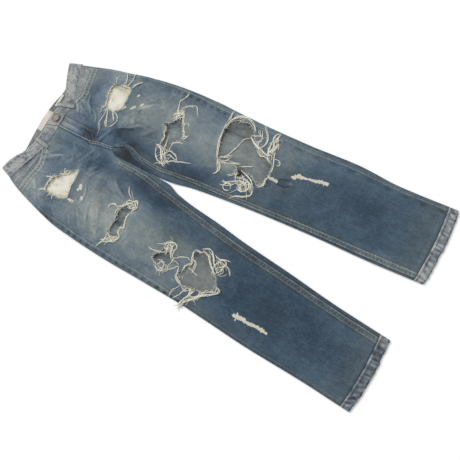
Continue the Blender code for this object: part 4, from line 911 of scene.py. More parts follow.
DENIM_SHADES = [
    (0.0, 30, 39, 52), (0.22, 49, 68, 85), (0.45, 77, 97, 113),
    (0.68, 111, 126, 138), (0.85, 139, 149, 153),
    (1.0, 172, 175, 172),
]
AGED_SHADES = [
    (0.0, 34, 39, 45), (0.22, 55, 66, 74), (0.45, 85, 97, 103),
    (0.68, 118, 129, 130), (0.85, 141, 150, 147),
    (1.0, 173, 175, 171),
]
WORN_SHADES = [
    (0.0, 36, 42, 50), (0.22, 59, 67, 79), (0.45, 89, 98, 109),
    (0.68, 117, 125, 132), (0.85, 139, 144, 145),
    (1.0, 170, 172, 170),
]
INNER_SHADES = [
    (0.0, 48, 51, 53), (0.5, 121, 127, 126), (1.0, 164, 167, 165),
]


def weave(tree, shader):
    """The twill's diagonal lines with the unevenness of the yarns, as bump."""
    twill = texture(tree, "ShaderNodeTexWave", mapped(tree, turn=1.0),
                    {"Scale": 330.0, "Distortion": 1.6, "Detail": 2.0, "Detail Scale": 1.5})["Fac"]
    rough = grain(tree, (900.0, 620.0, 700.0), 1.4)
    bumped(tree, shader, total(tree, product(tree, twill, 0.5), rough), 0.35 * MM, 0.7)
    return twill


def painted_facet_shading(tree):
    """Painted light and shade of small flat places between sharp creases, and pale lines where they meet."""
    where = mapped(tree, (34.0, 24.0, 20.0), 0.5)
    bent = texture(tree, "ShaderNodeTexNoise", where, {"Scale": 1.1, "Detail": 2.0})["Color"]
    moved = add_node(tree, "ShaderNodeVectorMath", operation="MULTIPLY_ADD")
    moved.inputs[1].default_value = (1.3, 1.3, 1.3)
    tree.links.new(bent, moved.inputs[0])
    tree.links.new(where, moved.inputs[2])
    cells, borders = (texture(tree, "ShaderNodeTexVoronoi", moved.outputs["Vector"], {"Scale": 1.0},
                              feature=kind) for kind in ("F1", "DISTANCE_TO_EDGE"))
    split = add_node(tree, "ShaderNodeSeparateColor")
    tree.links.new(cells["Color"], split.inputs["Color"])
    shade = product(tree, math_node(tree, "SUBTRACT", split.outputs[0], 0.5), 0.13)
    line = math_node(tree, "SUBTRACT", 1.0, product(tree, borders["Distance"], 9.0), True)
    line = product(tree, line, total(tree, grain(tree, 30.0, 3.0), 0.25, clamp=True))
    return product(tree, total(tree, shade, product(tree, line, 0.13)), attribute(tree, "creased"))


def denim_finish(name, shades=DENIM_SHADES, tone="wash_and_shade", mottle=1.0):
    finish, tree, shader = new_finish(name, 0.92, 0.08)
    twill = weave(tree, shader)
    value = total(tree, attribute(tree, tone),
                  grain(tree, (28.0, 20.0, 24.0), 0.14 * mottle, 3.0),
                  grain(tree, (130.0, 95.0, 110.0), 0.22 * mottle, 3.0),
                  grain(tree, (330.0, 210.0, 300.0), 0.26), grain(tree, (700.0, 40.0, 700.0), 0.26),
                  grain(tree, (120.0, 1300.0, 700.0), 0.07, 1.0),
                  grain(tree, (1500.0, 1300.0, 1400.0), 0.20, 1.0),
                  product(tree, math_node(tree, "SUBTRACT", twill, 0.5), 0.10), painted_facet_shading(tree))
    yellowed = total(tree, attribute(tree, "aged"), grain(tree, (16.0, 11.0, 12.0), 0.8, 3.0))
    cloth = blended(tree, product(tree, yellowed, 1.0, True), colours(tree, value, shades),
                    colours(tree, value, AGED_SHADES))
    streaks = total(tree, attribute(tree, "bare"), grain(tree, (80.0, 1500.0, 700.0), 0.9),
                    grain(tree, (420.0, 420.0, 400.0), 0.5))
    weft_shows = colours(tree, streaks, [(0.30, 0, 0, 0), (0.62, 255, 255, 255)], 1.0)
    weft = blended(tree, total(tree, grain(tree, (90.0, 1100.0, 700.0), 1.6), 0.6, clamp=True),
                   srgb(160, 161, 155), srgb(231, 225, 206))
    rusted = product(tree, attribute(tree, "rust"), total(tree, grain(tree, 300.0, 1.6), 0.8, clamp=True),
                     True)
    tree.links.new(blended(tree, rusted, blended(tree, weft_shows, cloth, weft), srgb(128, 96, 72)),
                   shader.inputs["Base Color"])
    return finish


def plain_finish(name, roughness, sheen, base, grains, shades, bumps, depth, strength=0.6, gain=GAIN):
    """A finish whose shade is a base, a number or an attribute's name, with grains added."""
    finish, tree, shader = new_finish(name, roughness, sheen)
    base = attribute(tree, base) if isinstance(base, str) else base
    value = total(tree, *(grain(tree, *settings) for settings in grains), base)
    tree.links.new(colours(tree, value, shades, gain), shader.inputs["Base Color"])
    bumped(tree, shader, total(tree, *(grain(tree, scale) for scale in bumps)), depth, strength)
    return finish


def thread_finish(name, pale, dark, gain=GAIN):
    """Twisted cotton, uneven in colour."""
    return plain_finish(name, 0.85, 0.1, 0.55, [(700.0, 1.3), (60.0, 0.5)], [(0.1, *dark), (0.75, *pale)],
                        [2200.0], 0.3 * MM, gain=gain)


denim = denim_finish("washed_denim")
worn_denim = denim_finish("worn_denim", WORN_SHADES, mottle=2.4)
denim_inside = denim_finish("denim_inner_side", INNER_SHADES, "inside", 1.8)
frayed = thread_finish("frayed_cotton", (240, 238, 222), (190, 187, 168), 1.0)
sewing = thread_finish("faded_sewing_thread", (206, 204, 194), (140, 142, 138))
rust_sewing = thread_finish("rust_sewing_thread", (150, 126, 104), (96, 82, 74))
pocketing = plain_finish("cream_pocketing", 0.9, 0.0, "wash_and_shade",
                         [(45.0, 0.22, 3.0), ((1400.0, 120.0, 900.0), 0.14),
                          ((120.0, 1400.0, 900.0), 0.12)],
                         [(0.0, 168, 158, 134), (0.5, 222, 219, 203), (1.0, 238, 237, 226)],
                         [(1700.0, 300.0, 900.0), (300.0, 1700.0, 900.0)], 0.25 * MM)
label_cloth = plain_finish("blank_woven_label", 0.8, 0.1, "wash_and_shade",
                           [((70.0, 50.0, 60.0), 0.25, 3.0), ((200.0, 2600.0, 900.0), 0.16)],
                           [(0.0, 150, 136, 120), (0.5, 222, 214, 204), (1.0, 236, 231, 224)],
                           [(400.0, 3000.0, 900.0)], 0.2 * MM)
copper = plain_finish("worn_copper", 0.62, 0.0, 0.5, [(300.0, 2.2, 3.0)],
                      [(0.0, 116, 105, 94), (0.5, 132, 126, 118), (1.0, 148, 144, 139)],
                      [900.0], 0.2 * MM, 0.5, 1.0)
copper.node_tree.nodes["Principled BSDF"].inputs["Metallic"].default_value = 0.15

# ---------------------------------------------------------------- making cloth

CELL = 0.27
FIELDS = ("wash_and_shade", "bare", "rust", "inside", "aged", "creased")


def placed(side, x, down, height):
    """Points in metres. side None is for pieces that the hem's slant doesn't reach."""
    low_down = down if side is None else lowered(side, x, down)
    return np.stack([x * CM + SHIFT_X, SHIFT_Y - low_down * CM, height + 0.0 * x], -1)


def grid_cloth(name, points, fields, wall, finishes, keep=None, turned=False, closed=False):
    """A sheet of cloth on a grid of points, which are its outer side, with a wall of its own."""
    rows, count = points.shape[:2]
    index = np.arange(rows * count).reshape(rows, count)
    if closed:
        index = np.hstack([index, index[:, :1]])
    corners = np.stack([index[:-1, :-1], index[:-1, 1:], index[1:, 1:], index[1:, :-1]], -1)
    if turned:
        corners = corners[..., ::-1]
    corners = corners.reshape(-1, 4) if keep is None else corners[keep]
    used, corners = np.unique(corners, return_inverse=True)
    mesh = bpy.data.meshes.new(name)
    mesh.from_pydata(points.reshape(-1, 3)[used].tolist(), [], corners.reshape(-1, 4).tolist())
    mesh.polygons.foreach_set("use_smooth", [True] * len(mesh.polygons))
    for key in FIELDS:
        values = np.broadcast_to(fields.get(key, 0.5 if key in ("wash_and_shade", "inside") else 0.0), (rows, count))
        layer = mesh.attributes.new(key, "FLOAT", "POINT")
        layer.data.foreach_set("value", np.ascontiguousarray(values.reshape(-1)[used], np.float32))
    piece = bpy.data.objects.new(name, mesh)
    bpy.context.scene.collection.objects.link(piece)
    for finish in finishes:
        mesh.materials.append(finish)
    solidify = piece.modifiers.new("wall", "SOLIDIFY")
    solidify.thickness = wall
    solidify.offset = -1.0
    if len(finishes) > 1:
        solidify.material_offset = 1
    return piece


def shown(piece, slot, *nodes):
    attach(piece, "root")
    if nodes:
        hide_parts(*nodes)
    return piece


def trimmed(x, down, outlines):
    """Which cells of a grid lie outside the outlines, with the points of the cut moved onto them."""
    middle_x = 0.25 * (x[:-1, :-1] + x[:-1, 1:] + x[1:, 1:] + x[1:, :-1])
    middle_d = 0.25 * (down[:-1, :-1] + down[:-1, 1:] + down[1:, 1:] + down[1:, :-1])
    keep = np.ones(middle_x.shape, bool)
    for outline in outlines:
        keep &= ~within(outline, middle_x, middle_d)
    kept, gone = (np.zeros(x.shape, bool) for _ in range(2))
    for rows in (slice(None, -1), slice(1, None)):
        for columns in (slice(None, -1), slice(1, None)):
            kept[rows, columns] |= keep
            gone[rows, columns] |= ~keep
    edge = np.nonzero(kept & gone)
    edge_x, edge_d = x[edge], down[edge]
    best = np.full(edge_x.shape, 1e9)
    new_x, new_d = edge_x.copy(), edge_d.copy()
    for outline in outlines:
        d, _, near_x, near_d, _ = nearest(outline, edge_x, edge_d, closed=True)
        closer = d < best
        best = np.where(closer, d, best)
        new_x, new_d = np.where(closer, near_x, new_x), np.where(closer, near_d, new_d)
    x, down = x.copy(), down.copy()
    x[edge], down[edge] = new_x, new_d
    return x, down, keep


def torn_edge(side, x, down):
    """The distance to the nearest rip's edge."""
    best = np.full(x.shape, 9.0)
    for outline in TORN[side].values():
        near = close_to(x, down, outline, 3.0)
        if near.any():
            d = nearest(outline[::2], x[near], down[near], closed=True)[0]
            best[near] = np.minimum(best[near], d)
    return best


def upper_height(side, x, down):
    """Top of a front panel with all that lies under it and its seams."""
    height = front_height(side, x, down) + pocket_lift(side, x, down)
    if side == "left":
        height = height + fly_lift(x, down)
    return height


def waist_cut(side):
    """The part of a front that the pocket's scoop and the waistband take away."""
    outward = OUTWARD[side]
    band = list(reversed(BAND_FRONTS["right"][:4])) if side == "right" else BAND_FRONTS["left"][5:]
    seam = [(row[2], row[3] + SEAM_GAP) for row in band]
    end = 3.2 if side == "right" else -1.5
    return [(outward * FAR, ABOVE), (outward * FAR, SCOOPS[side][0][1])] + curved(SCOOPS[side]) + seam \
        + [(end, seam[-1][1]), (end, ABOVE)]


def curved(points, steps=6):
    """A smooth line through a few points."""
    points, run, start = along(points)
    at = np.unique(np.concatenate([np.linspace(a, b, steps + 1) for a, b in zip(start[:-1], start[1:])]))
    ends = np.vstack([2 * points[0] - points[1], points, 2 * points[-1] - points[-2]])
    out = []
    for value in at:
        i = min(int(np.searchsorted(start, value, side="right")) - 1, len(run) - 1)
        t = (value - start[i]) / run[i]
        a, b, c, d = ends[i:i + 4]
        out.append(tuple(0.5 * (2 * b + (c - a) * t + (2 * a - 5 * b + 4 * c - d) * t * t
                                + (3 * b - 3 * c + d - a) * t ** 3)))
    return [(float(px), float(pd)) for px, pd in out]


# Where the cloth's grid is finer beside the long seams, in cm from them
OUTSEAM_STEPS = np.array([0.0, 0.1, 0.2, 0.35, 0.5, 0.65, 0.8, 0.95, 1.1, 1.3])
INSEAM_STEPS = np.array([0.0, 0.08, 0.16, 0.26, 0.38, 0.5, 0.62, 0.74, 0.84, 0.92, 1.0, 1.1, 1.22, 1.36,
                         1.52, 1.7, 1.9, 2.1, 2.3, 2.5, 2.7, 2.9, 3.1])


def front_panel(side):
    hem_start = HEMS[side][1] - HEM_DEPTH
    rows = np.concatenate([np.arange(3.0, 26.0, 0.14),
                           np.linspace(26.0, hem_start - SIDE_GAP, int((hem_start - 26.0) / CELL))])
    outer, inner = leg(side, "outseam", rows)[:, None], leg(side, "inseam", rows)[:, None]
    near_outer = outer - OUTWARD[side] * OUTSEAM_STEPS
    near_inner = inner + OUTWARD[side] * INSEAM_STEPS[::-1]
    between = mix(near_outer[:, -1:], near_inner[:, :1], shares(70))
    x = np.hstack([near_outer[:, :-1], between, near_inner[:, 1:]])
    last = x.shape[1] - 1
    if side == "right":
        x = np.hstack([x, inner + np.linspace(0.0, FLY_UNDERLAP, 8)[1:]])
    down = np.broadcast_to(rows[:, None], x.shape)
    x, down, keep = trimmed(x, down, [waist_cut(side)] + list(TORN[side].values()))
    if side == "right":
        keep[np.ix_(rows[1:] > FLY_END, np.arange(x.shape[1] - 1) >= last)] = False
    d = torn_edge(side, x, down)
    rise1, tone1 = leg_seams(side, x, down)
    rise2, tone2 = hip_seams(side, x, down)
    curl = MM * bell(d, 0.5) * (0.5 + 0.9 * noise(x / 1.1, down / 1.1, 71))
    height = upper_height(side, x, down) + rise1 + rise2 + curl
    if side == "right":
        under = ease((x - leg(side, "inseam", down)) / 0.15) * (down < FLY_END + 1.0)
        height = height - MM * 0.4 * under
    tone = wash_and_shade(side, x, down) + tone1 + tone2 + 0.10 * bell(d, 0.45)
    tone = tone - 0.10 * bell(hem_start - down, 0.4) + 0.05 * bell(hem_start - down - 0.9, 0.5)
    torn = bell(d - 0.06, 0.15) * (0.62 + 0.5 * noise(x / 0.9, down / 0.9, 73))
    fields = {"wash_and_shade": tone, "bare": np.maximum(bareness(side, x, down), torn), "rust": rust_places(x, down),
              "aged": aged(side, x, down), "creased": creased(down)}
    piece = grid_cloth("front_panel_" + side, placed(side, x, down, height), fields, DENIM,
                       [denim, denim_inside], keep, turned=side == "right")
    return shown(piece, "denim_front", "front_" + side)


def creased(down):
    """How sharply the cloth is creased, most over the hips: the strength of the painted facet light and
    shade.
    """
    return np.interp(down, [7.0, 26.0, 34.0, 66.0, 74.0, 104.0], [1.0, 1.0, 0.75, 0.5, 0.25, 0.25])


# Rust sewing shows as a stain here: x, down, half width, half height, strength
RUST = [
    (2.9, 16.4, 0.3, 1.0, 0.3), (0.55, 17.8, 0.28, 0.6, 0.65), (1.4, 15.6, 0.8, 1.6, 0.08),
    (3.0, 12.6, 0.25, 0.8, 0.3), (1.6, 5.1, 1.7, 0.9, 0.42), (0.9, 20.6, 0.25, 1.0, 0.25),
    (-20.9, 17.2, 0.2, 0.8, 0.3), (-9.4, 101.5, 0.7, 0.6, 0.4), (6.6, 102.6, 0.7, 0.6, 0.4),
    (-3.3, 46.2, 0.3, 0.3, 0.3), (3.1, 7.0, 0.4, 0.4, 0.2), (-15.9, 5.7, 0.3, 0.6, 0.8),
    (-5.4, 4.6, 0.3, 0.7, 0.2),
]


def rust_places(x, down):
    """How much rust stains the cloth, from 0 to 1."""
    stain = np.zeros_like(x)
    for row in RUST:
        stain = np.maximum(stain, patches(0.0, [row], x, down))
    return stain


def bend(reach, base, top, start, end):
    """A half round turn: how far out, and the height, between two angles in degrees."""
    angle = np.radians(np.linspace(start, end, BEND_STEPS))
    return reach * np.cos(angle), 0.5 * (base + top)[:, None] + 0.5 * (top - base)[:, None] * np.sin(angle)


# Painted shade and light on the bottom layer inside the rips, darkest under torn edges, given like the
# patches of the wash
RIP_PAINTED_SHADE = {
    "right": [
        (-16.4, 35.6, 0.9, 1.4, -20, 0.12), (-14.4, 34.9, 0.55, 1.2, 25, -0.3),
        (-13.1, 35.6, 0.7, 1.3, 10, -0.1), (-11.8, 35.6, 0.35, 1.2, 15, 0.12),
        (-10.7, 35.2, 0.5, 1.3, -20, -0.32), (-12.6, 34.0, 2.6, 0.5, -0.14),
        (-17.1, 47.5, 1.3, 0.8, 20, -0.5), (-15.5, 48.5, 0.9, 0.8, -0.2), (-13.6, 35.4, 3.0, 1.8, 0.08),
        (-12.0, 56.4, 0.6, 0.9, 30, -0.34), (-15.5, 55.7, 3.6, 0.5, -0.14),
        (-12.0, 59.0, 1.3, 3.2, 20, -0.12), (-19.2, 58.5, 0.7, 3.4, -0.1),
    ],
    "left": [
        (12.0, 36.2, 2.6, 1.8, 0.25), (11.2, 33.9, 1.5, 0.45, -8, -0.34), (14.8, 34.5, 0.8, 0.5, -0.34),
        (17.2, 34.5, 0.7, 0.5, -0.34), (14.6, 36.2, 1.2, 1.0, -30, -0.14), (8.0, 34.6, 0.9, 0.6, -0.14),
        (8.8, 37.0, 1.6, 0.5, -0.16), (12.6, 32.7, 0.4, 0.9, -0.3), (9.7, 55.6, 1.0, 1.4, -0.75),
        (16.0, 47.5, 3.2, 0.7, -12, -0.16), (18.4, 47.6, 1.1, 1.3, -0.26),
        (12.0, 51.8, 0.8, 3.0, -10, -0.1), (15.8, 59.5, 1.0, 2.0, 20, -0.16),
        (15.5, 61.0, 2.4, 0.7, -20, -0.16), (14.5, 56.5, 1.6, 4.5, 0.05), (18.8, 53.6, 1.2, 0.9, -0.12),
        (14.6, 50.6, 2.6, 3.4, 0.14),
    ],
}


def inner_side(side, x, down):
    """The upper face of the bottom layer: how it waves, and how pale it is, with painted shade and light in
    the rips.
    """
    wave = 0.45 * noise(x / 3.0, down / 4.0, 81) + 0.2 * noise(x / 1.2, down / 1.6, 82)
    pale = 0.50 + 0.04 * noise(x / 2.2, down / 3.4, 83) + 0.03 * noise(x / 0.6, down / 0.6, 86)
    pale = patches(pale, RIP_PAINTED_SHADE[side], x, down)
    rise = MM * (0.45 + wave) * ease((down - 31.0) / 2.0)
    if side == "left":
        near = bell(down - 50.0, 4.2)
        flap = ease((x - 18.3) / 1.6) * near
        rise = rise + MM * flap
        # Painted shade in the crease at the foot of the flap, and the flap darker
        pale = pale - 0.30 * near * bell(x - 18.3 - 0.04 * (down - 50.0), 0.5) - 0.20 * flap
    return np.maximum(rise, 0.0), pale


def back_panel(side, yoke=False):
    """The bottom layer of a leg with its turns at both sides, up to the seams on the front."""
    outward = OUTWARD[side]
    first, last, cell = (3.0, 12.0, 0.36) if yoke else (7.5, HEMS[side][1] - HEM_DEPTH - SIDE_GAP, 0.32)
    rows = np.linspace(first, last, int((last - first) / cell))
    legs_part = (rows >= CROTCH)[:, None]
    outer, inner, outseam, inseam = (leg(side, what, rows)[:, None]
                                     for what in ("outer", "inner", "outseam", "inseam"))
    base = base_height(rows[:, None])
    lap = 0.3 * outward
    turn_x = outer - outward * FOLD_REACH
    strip = mix(outseam - lap, turn_x, shares(10)[:-1])
    reach, _ = bend(FOLD_REACH, base[:, 0], base[:, 0], 90.0, -90.0)
    fold_x = turn_x + outward * reach
    top_x = inner + outward * FOLD_REACH
    end_x = np.where(legs_part, top_x, inner + outward * 0.015)
    under = shares(40)[1:-1]
    under_x = mix(turn_x, end_x, under)
    inner_fold_x = np.where(legs_part, top_x - outward * reach[::-1], end_x)
    inner_strip = np.where(legs_part, mix(top_x, inseam + lap, shares(16)[1:]), end_x)
    x = np.hstack([strip, fold_x, under_x, inner_fold_x, inner_strip])
    a, b, c, d = np.cumsum([part.shape[1] for part in (strip, fold_x, under_x, inner_fold_x)])
    down = np.broadcast_to(rows[:, None], x.shape)
    rise, seam_tone = leg_seams(side, x, down)
    u = (x - leg(side, "inseam", down)) * outward
    v = (x - leg(side, "outseam", down)) * outward
    column = np.arange(x.shape[1])
    top = front_height(side, x, down) + rise
    top = top - SEAM_UNDERLAP * ease((u + 0.06) / 0.2) * (column >= d)
    top = top - SEAM_UNDERLAP * ease((0.06 - v) / 0.2) * (column < a)
    deep = hollow(x, down)
    top = top - HOLLOW_DEPTH * deep
    wave, pale = inner_side(side, x, down)
    height = base + 0.0 * x
    height[:, :a] = top[:, :a]
    height[:, a:b] = bend(FOLD_REACH, base[:, 0], top[:, a], 90.0, -90.0)[1]
    height[:, b:c] += wave[:, b:c] * np.minimum(1.0, 4.0 * under * (1.0 - under))
    inner_turn = bend(FOLD_REACH, base[:, 0], top[:, d], -90.0, 90.0)[1]
    height[:, c:d] = np.where(legs_part, inner_turn, base)
    height[:, d:] = np.where(legs_part, top[:, d:], base)
    keep = np.ones((x.shape[0] - 1, x.shape[1] - 1), bool)
    keep[np.ix_(rows[:-1] < CROTCH, column[:-1] >= c - 1)] = False
    far, middle = outward * FAR, -outward * 2.5
    if yoke:
        band = BAND_BACK[:5] if side == "right" else list(reversed(BAND_BACK[4:]))
        seam = [(far, band[0][3] + SEAM_GAP)] + [(row[2], row[3] + SEAM_GAP) for row in band]
        outlines = [seam + [(middle, seam[-1][1]), (middle, ABOVE), (far, ABOVE)],
                    [(far, YOKE_SIDE - SIDE_GAP), (outward * 19.0, YOKE_SIDE - SIDE_GAP),
                     (middle, YOKE_CENTRE - SIDE_GAP), (middle, 40.0), (far, 40.0)]]
    else:
        outlines = [[(far, ABOVE), (far, YOKE_SIDE), (outward * 19.0, YOKE_SIDE), (middle, YOKE_CENTRE),
                     (middle, ABOVE)]]
    x, down, cut_keep = trimmed(x, down, outlines)
    threads_in_it = (0.24 + 0.22 * noise(x / 0.35, down / 0.3, 84)) * bell(down - 24.2, 1.0)
    # Painted shadow in the hollow below the crotch, with pale threads in it; the aged shades grey it and the
    # rust colour tints it
    shadow = 0.08 - 0.14 * bell(down - 28.4, 1.2) + 0.05 * noise(x / 0.5, down / 0.9, 87) + threads_in_it
    tone = mix(wash_and_shade(side, x, down) + seam_tone - 0.02, shadow, np.minimum(deep * 1.1, 1.0) * 0.93)
    fields = {"wash_and_shade": tone, "inside": pale, "rust": deep * (0.05 + 0.08 * noise(x / 0.6, down / 0.6, 85)),
              "aged": np.maximum(aged(side, x, down), 0.6 * deep * bell(down - 27.5, 2.2)),
              "creased": 0.5 * creased(down)}
    name = "back_panel_" + side
    nodes = ["back_" + side + turn for turn in ("", "_outer_turn", "_inner_turn")]
    if yoke:
        name, nodes = "yoke_" + side + "_cloth", ["yoke_" + side]
    piece = grid_cloth(name, placed(side, x, down, height), fields, DENIM, [denim, denim_inside],
                       keep & cut_keep, turned=side == "left")
    return shown(piece, "denim_back", *nodes)


# The hollow below the crotch: down with its middle and with half its width
HOLLOW_MIDDLE = [(23.2, 1.15), (26.2, 1.45), (28.2, 1.2), (29.6, 0.75), (32.0, 0.55), (38.0, 0.2)]
HOLLOW_HALF = [
    (22.8, 0.0), (24.4, 0.9), (26.2, 1.5), (28.2, 1.25), (29.8, 0.7), (32.0, 0.5), (38.0, 0.45),
    (41.0, 0.3),
]


def hollow(x, down):
    """The dark hollow between the legs below the crotch, from 0 to 1."""
    middle = np.interp(down, *zip(*HOLLOW_MIDDLE))
    half = np.interp(down, *zip(*HOLLOW_HALF))
    return (1.0 - ease((np.abs(x - middle) - half + 0.25) / 0.6)) * ease((down - 22.9) / 0.8) \
        * (1.0 - 0.7 * ease((down - 31.0) / 9.0))


def hem(side):
    """The turned-up end of a leg, twisted along its stitching."""
    outward = OUTWARD[side]
    right = side == "right"
    rows = np.linspace(HEMS[side][1] - HEM_DEPTH, HEMS[side][1], 17)
    outer, inner = leg(side, "outer", rows)[:, None], leg(side, "inner", rows)[:, None]
    turn_outer, turn_inner = outer - outward * HEM_FOLD_REACH, inner + outward * HEM_FOLD_REACH
    reach, turn_z = bend(HEM_FOLD_REACH, np.zeros(rows.shape), np.full(rows.shape, HEM_TOP), 90.0, -90.0)
    under_x = mix(turn_outer, turn_inner, shares(30)[1:-1])
    upper_x = mix(turn_inner, turn_outer, shares(150)[1:-1])
    x = np.hstack([turn_outer + outward * reach, under_x, turn_inner - outward * reach[::-1], upper_x])
    down = np.broadcast_to(rows[:, None], x.shape)
    height = np.hstack([turn_z, 0.0 * under_x, turn_z[:, ::-1], HEM_TOP + 0.0 * upper_x])
    share = (down - rows[0]) / HEM_DEPTH
    place = x * outward
    bent = place + 0.5 * noise(place / 1.7, 0.0, 90)
    slope = 0.55 + 0.5 * noise(place / 3.1, 0.0, 98)
    twist = np.sin(2.0 * math.pi * (bent + slope * share) / 1.25)
    twist = twist * (0.75 + 0.55 * noise(place / 1.7, share, 92)) \
        + 0.5 * noise(place / 0.6, share * 2.0, 93)
    on_top = ease(height / HEM_TOP * 3.0 - 1.5)
    middle = bell(share - 0.52, 0.34)
    height = height + on_top * MM * (0.75 * twist * middle - 1.0 * ease((share - 0.86) / 0.14)
                                     - 0.5 * (1.0 - ease(share / 0.10)) + 0.3 * bell(share - 0.24, 0.1))
    down = down + share * (0.14 * noise(place / 1.4, 0.0, 94) + 0.08 * noise(place / 0.5, 0.0, 95))
    corner = bell((place - (8.9 if right else 6.6)) / 1.5, 1.0)
    # The dark line along the hem's bottom edge is painted shadow
    tone = (0.50 if right else 0.73) + 0.30 * np.clip(twist, -1.0, 1.0) * middle \
        - 0.50 * bell(share - 1.0, 0.12) \
        + 0.30 * bell(share - 0.90, 0.07) * (0.6 + 0.7 * noise(place / 0.7, 0.0, 96)) \
        + 0.24 * bell(share - 0.08, 0.09) * (1.0 + 0.6 * noise(place / 0.8, 0.0, 89)) \
        - 0.30 * bell(share - 0.24, 0.07) + 0.20 * corner \
        + 0.20 * noise(place / 0.4, share * 4.0, 99) + 0.12 * noise(place / 1.1, share * 1.5, 100)
    fields = {"wash_and_shade": tone, "rust": rust_places(x, down),
              "bare": 0.45 * bell(share - 0.94, 0.08) * ease(2.0 * noise(place / 1.2, 0.0, 97))}
    slanted = lowered(side, x, rows[:, None] + 0.0 * x) + down - rows[:, None]
    points = np.stack([x * CM + SHIFT_X, SHIFT_Y - slanted * CM, height], -1)
    piece = grid_cloth("hem_fold_" + side, points, fields, HEM_WALL, [worn_denim], turned=side == "left",
                       closed=True)
    return shown(piece, "denim_worn", "hem_" + side)


def band_rows(table, count):
    """The waistband's top edge and seam at even steps along a stretch of it."""
    at = np.linspace(0.0, len(table) - 1.0, count)
    return np.stack([smooth(at, np.arange(len(table)), [row[k] for row in table]) for k in range(4)], -1)


BAND_PLACES = np.array([0.0, 0.03, 0.07, 0.11, 0.15, 0.20, 0.26, 0.33, 0.41, 0.5, 0.59, 0.67, 0.74, 0.80,
                        0.85, 0.89, 0.93, 0.97, 1.0])


# Where the waistband is paler or darker: x, half width and how much; and its pleats, as folds
BAND_FADES = [
    (-16.0, 3.0, 0.06), (-0.2, 0.7, 0.22), (-8.6, 1.2, -0.1), (-4.4, 1.6, -0.12), (-1.8, 0.8, -0.11),
    (3.2, 0.7, -0.07), (8.0, 1.0, -0.12),
]
BAND_PLEATS = [(9.9, 2.9, 7.6, 5.6, 1.3), (9.0, 3.4, 7.2, 6.6, -1.0), (11.6, 2.4, 8.9, 5.0, 1.0),
               (11.0, 2.2, 8.4, 4.6, -0.8), (13.4, 1.4, 10.6, 3.6, 0.7), (12.6, 3.4, 16.2, 1.0, -0.6),
               (-9.6, 2.6, -9.0, 5.6, 0.8), (-11.6, 1.6, -9.9, 5.0, -0.6)]


def band_lap(x):
    """What the right end under the left one lifts it by."""
    return BAND_LAP * ease((4.6 - x) / 1.9)


def band_profile(x, share, at):
    """Height and wash of the waistband's cloth across its width."""
    twist = rope(at, 0.5 * share, 101)
    edges = bell(share - 0.09, 0.06) + bell(share - 0.90, 0.06)
    lines = bell(share - 0.17, 0.045) + bell(share - 0.82, 0.045)
    height = MM * (0.35 * edges * (1.0 + 0.4 * twist) - 0.30 * lines - 0.55 * bell(share, 0.035)
                   - 0.45 * bell(share - 1.0, 0.035))
    height = height + MM * (0.35 * noise(at / 1.6, share * 1.4, 102)
                            + 0.2 * noise(at / 0.7, share * 3.0, 104))
    ticks = marks(at, 0.42, 106) * bell(share - 0.80, 0.08) \
        + 0.5 * marks(at + 0.3, 0.5, 107) * bell(share - 0.22, 0.06)
    ladder = 0.35 + 0.65 * ease(x + 17.5) * (1.0 - ease((x + 9.5) / 1.5))
    mottle = 0.17 + 0.10 * ease((np.abs(x) - 8.0) / 3.0)
    tone = 0.93 + mottle * (noise(at / 1.1, share * 3.0, 108) + noise(at / 0.5, share * 7.0, 110))
    tone = tone - 0.17 * (1.0 - ease((np.abs(x) - 5.5) / 3.5)) * ease((share - 0.25) / 0.3)
    fade = 1.0 - 0.65 * ease((x - 7.0) / 2.0)
    tone = tone + 0.16 * edges * (1.0 + 0.3 * twist) * fade - 0.5 * ladder * ticks - 0.08 * lines * fade \
        - 0.10 * bell(share - 1.0, 0.03)
    tone = tone + ease(-6.5 - x) * bell(share - 0.91, 0.07) * (0.16 - 0.62 * marks(at, 0.55, 109))
    tone = tone + 0.22 * bell(x - 13.5, 1.1) * bell(share - 0.45, 0.22) + 0.04 * ease((x - 7.0) / 2.0)
    for middle, half_width, paler in BAND_FADES:
        tone = tone + paler * bell(x - middle, half_width)
    return height, tone


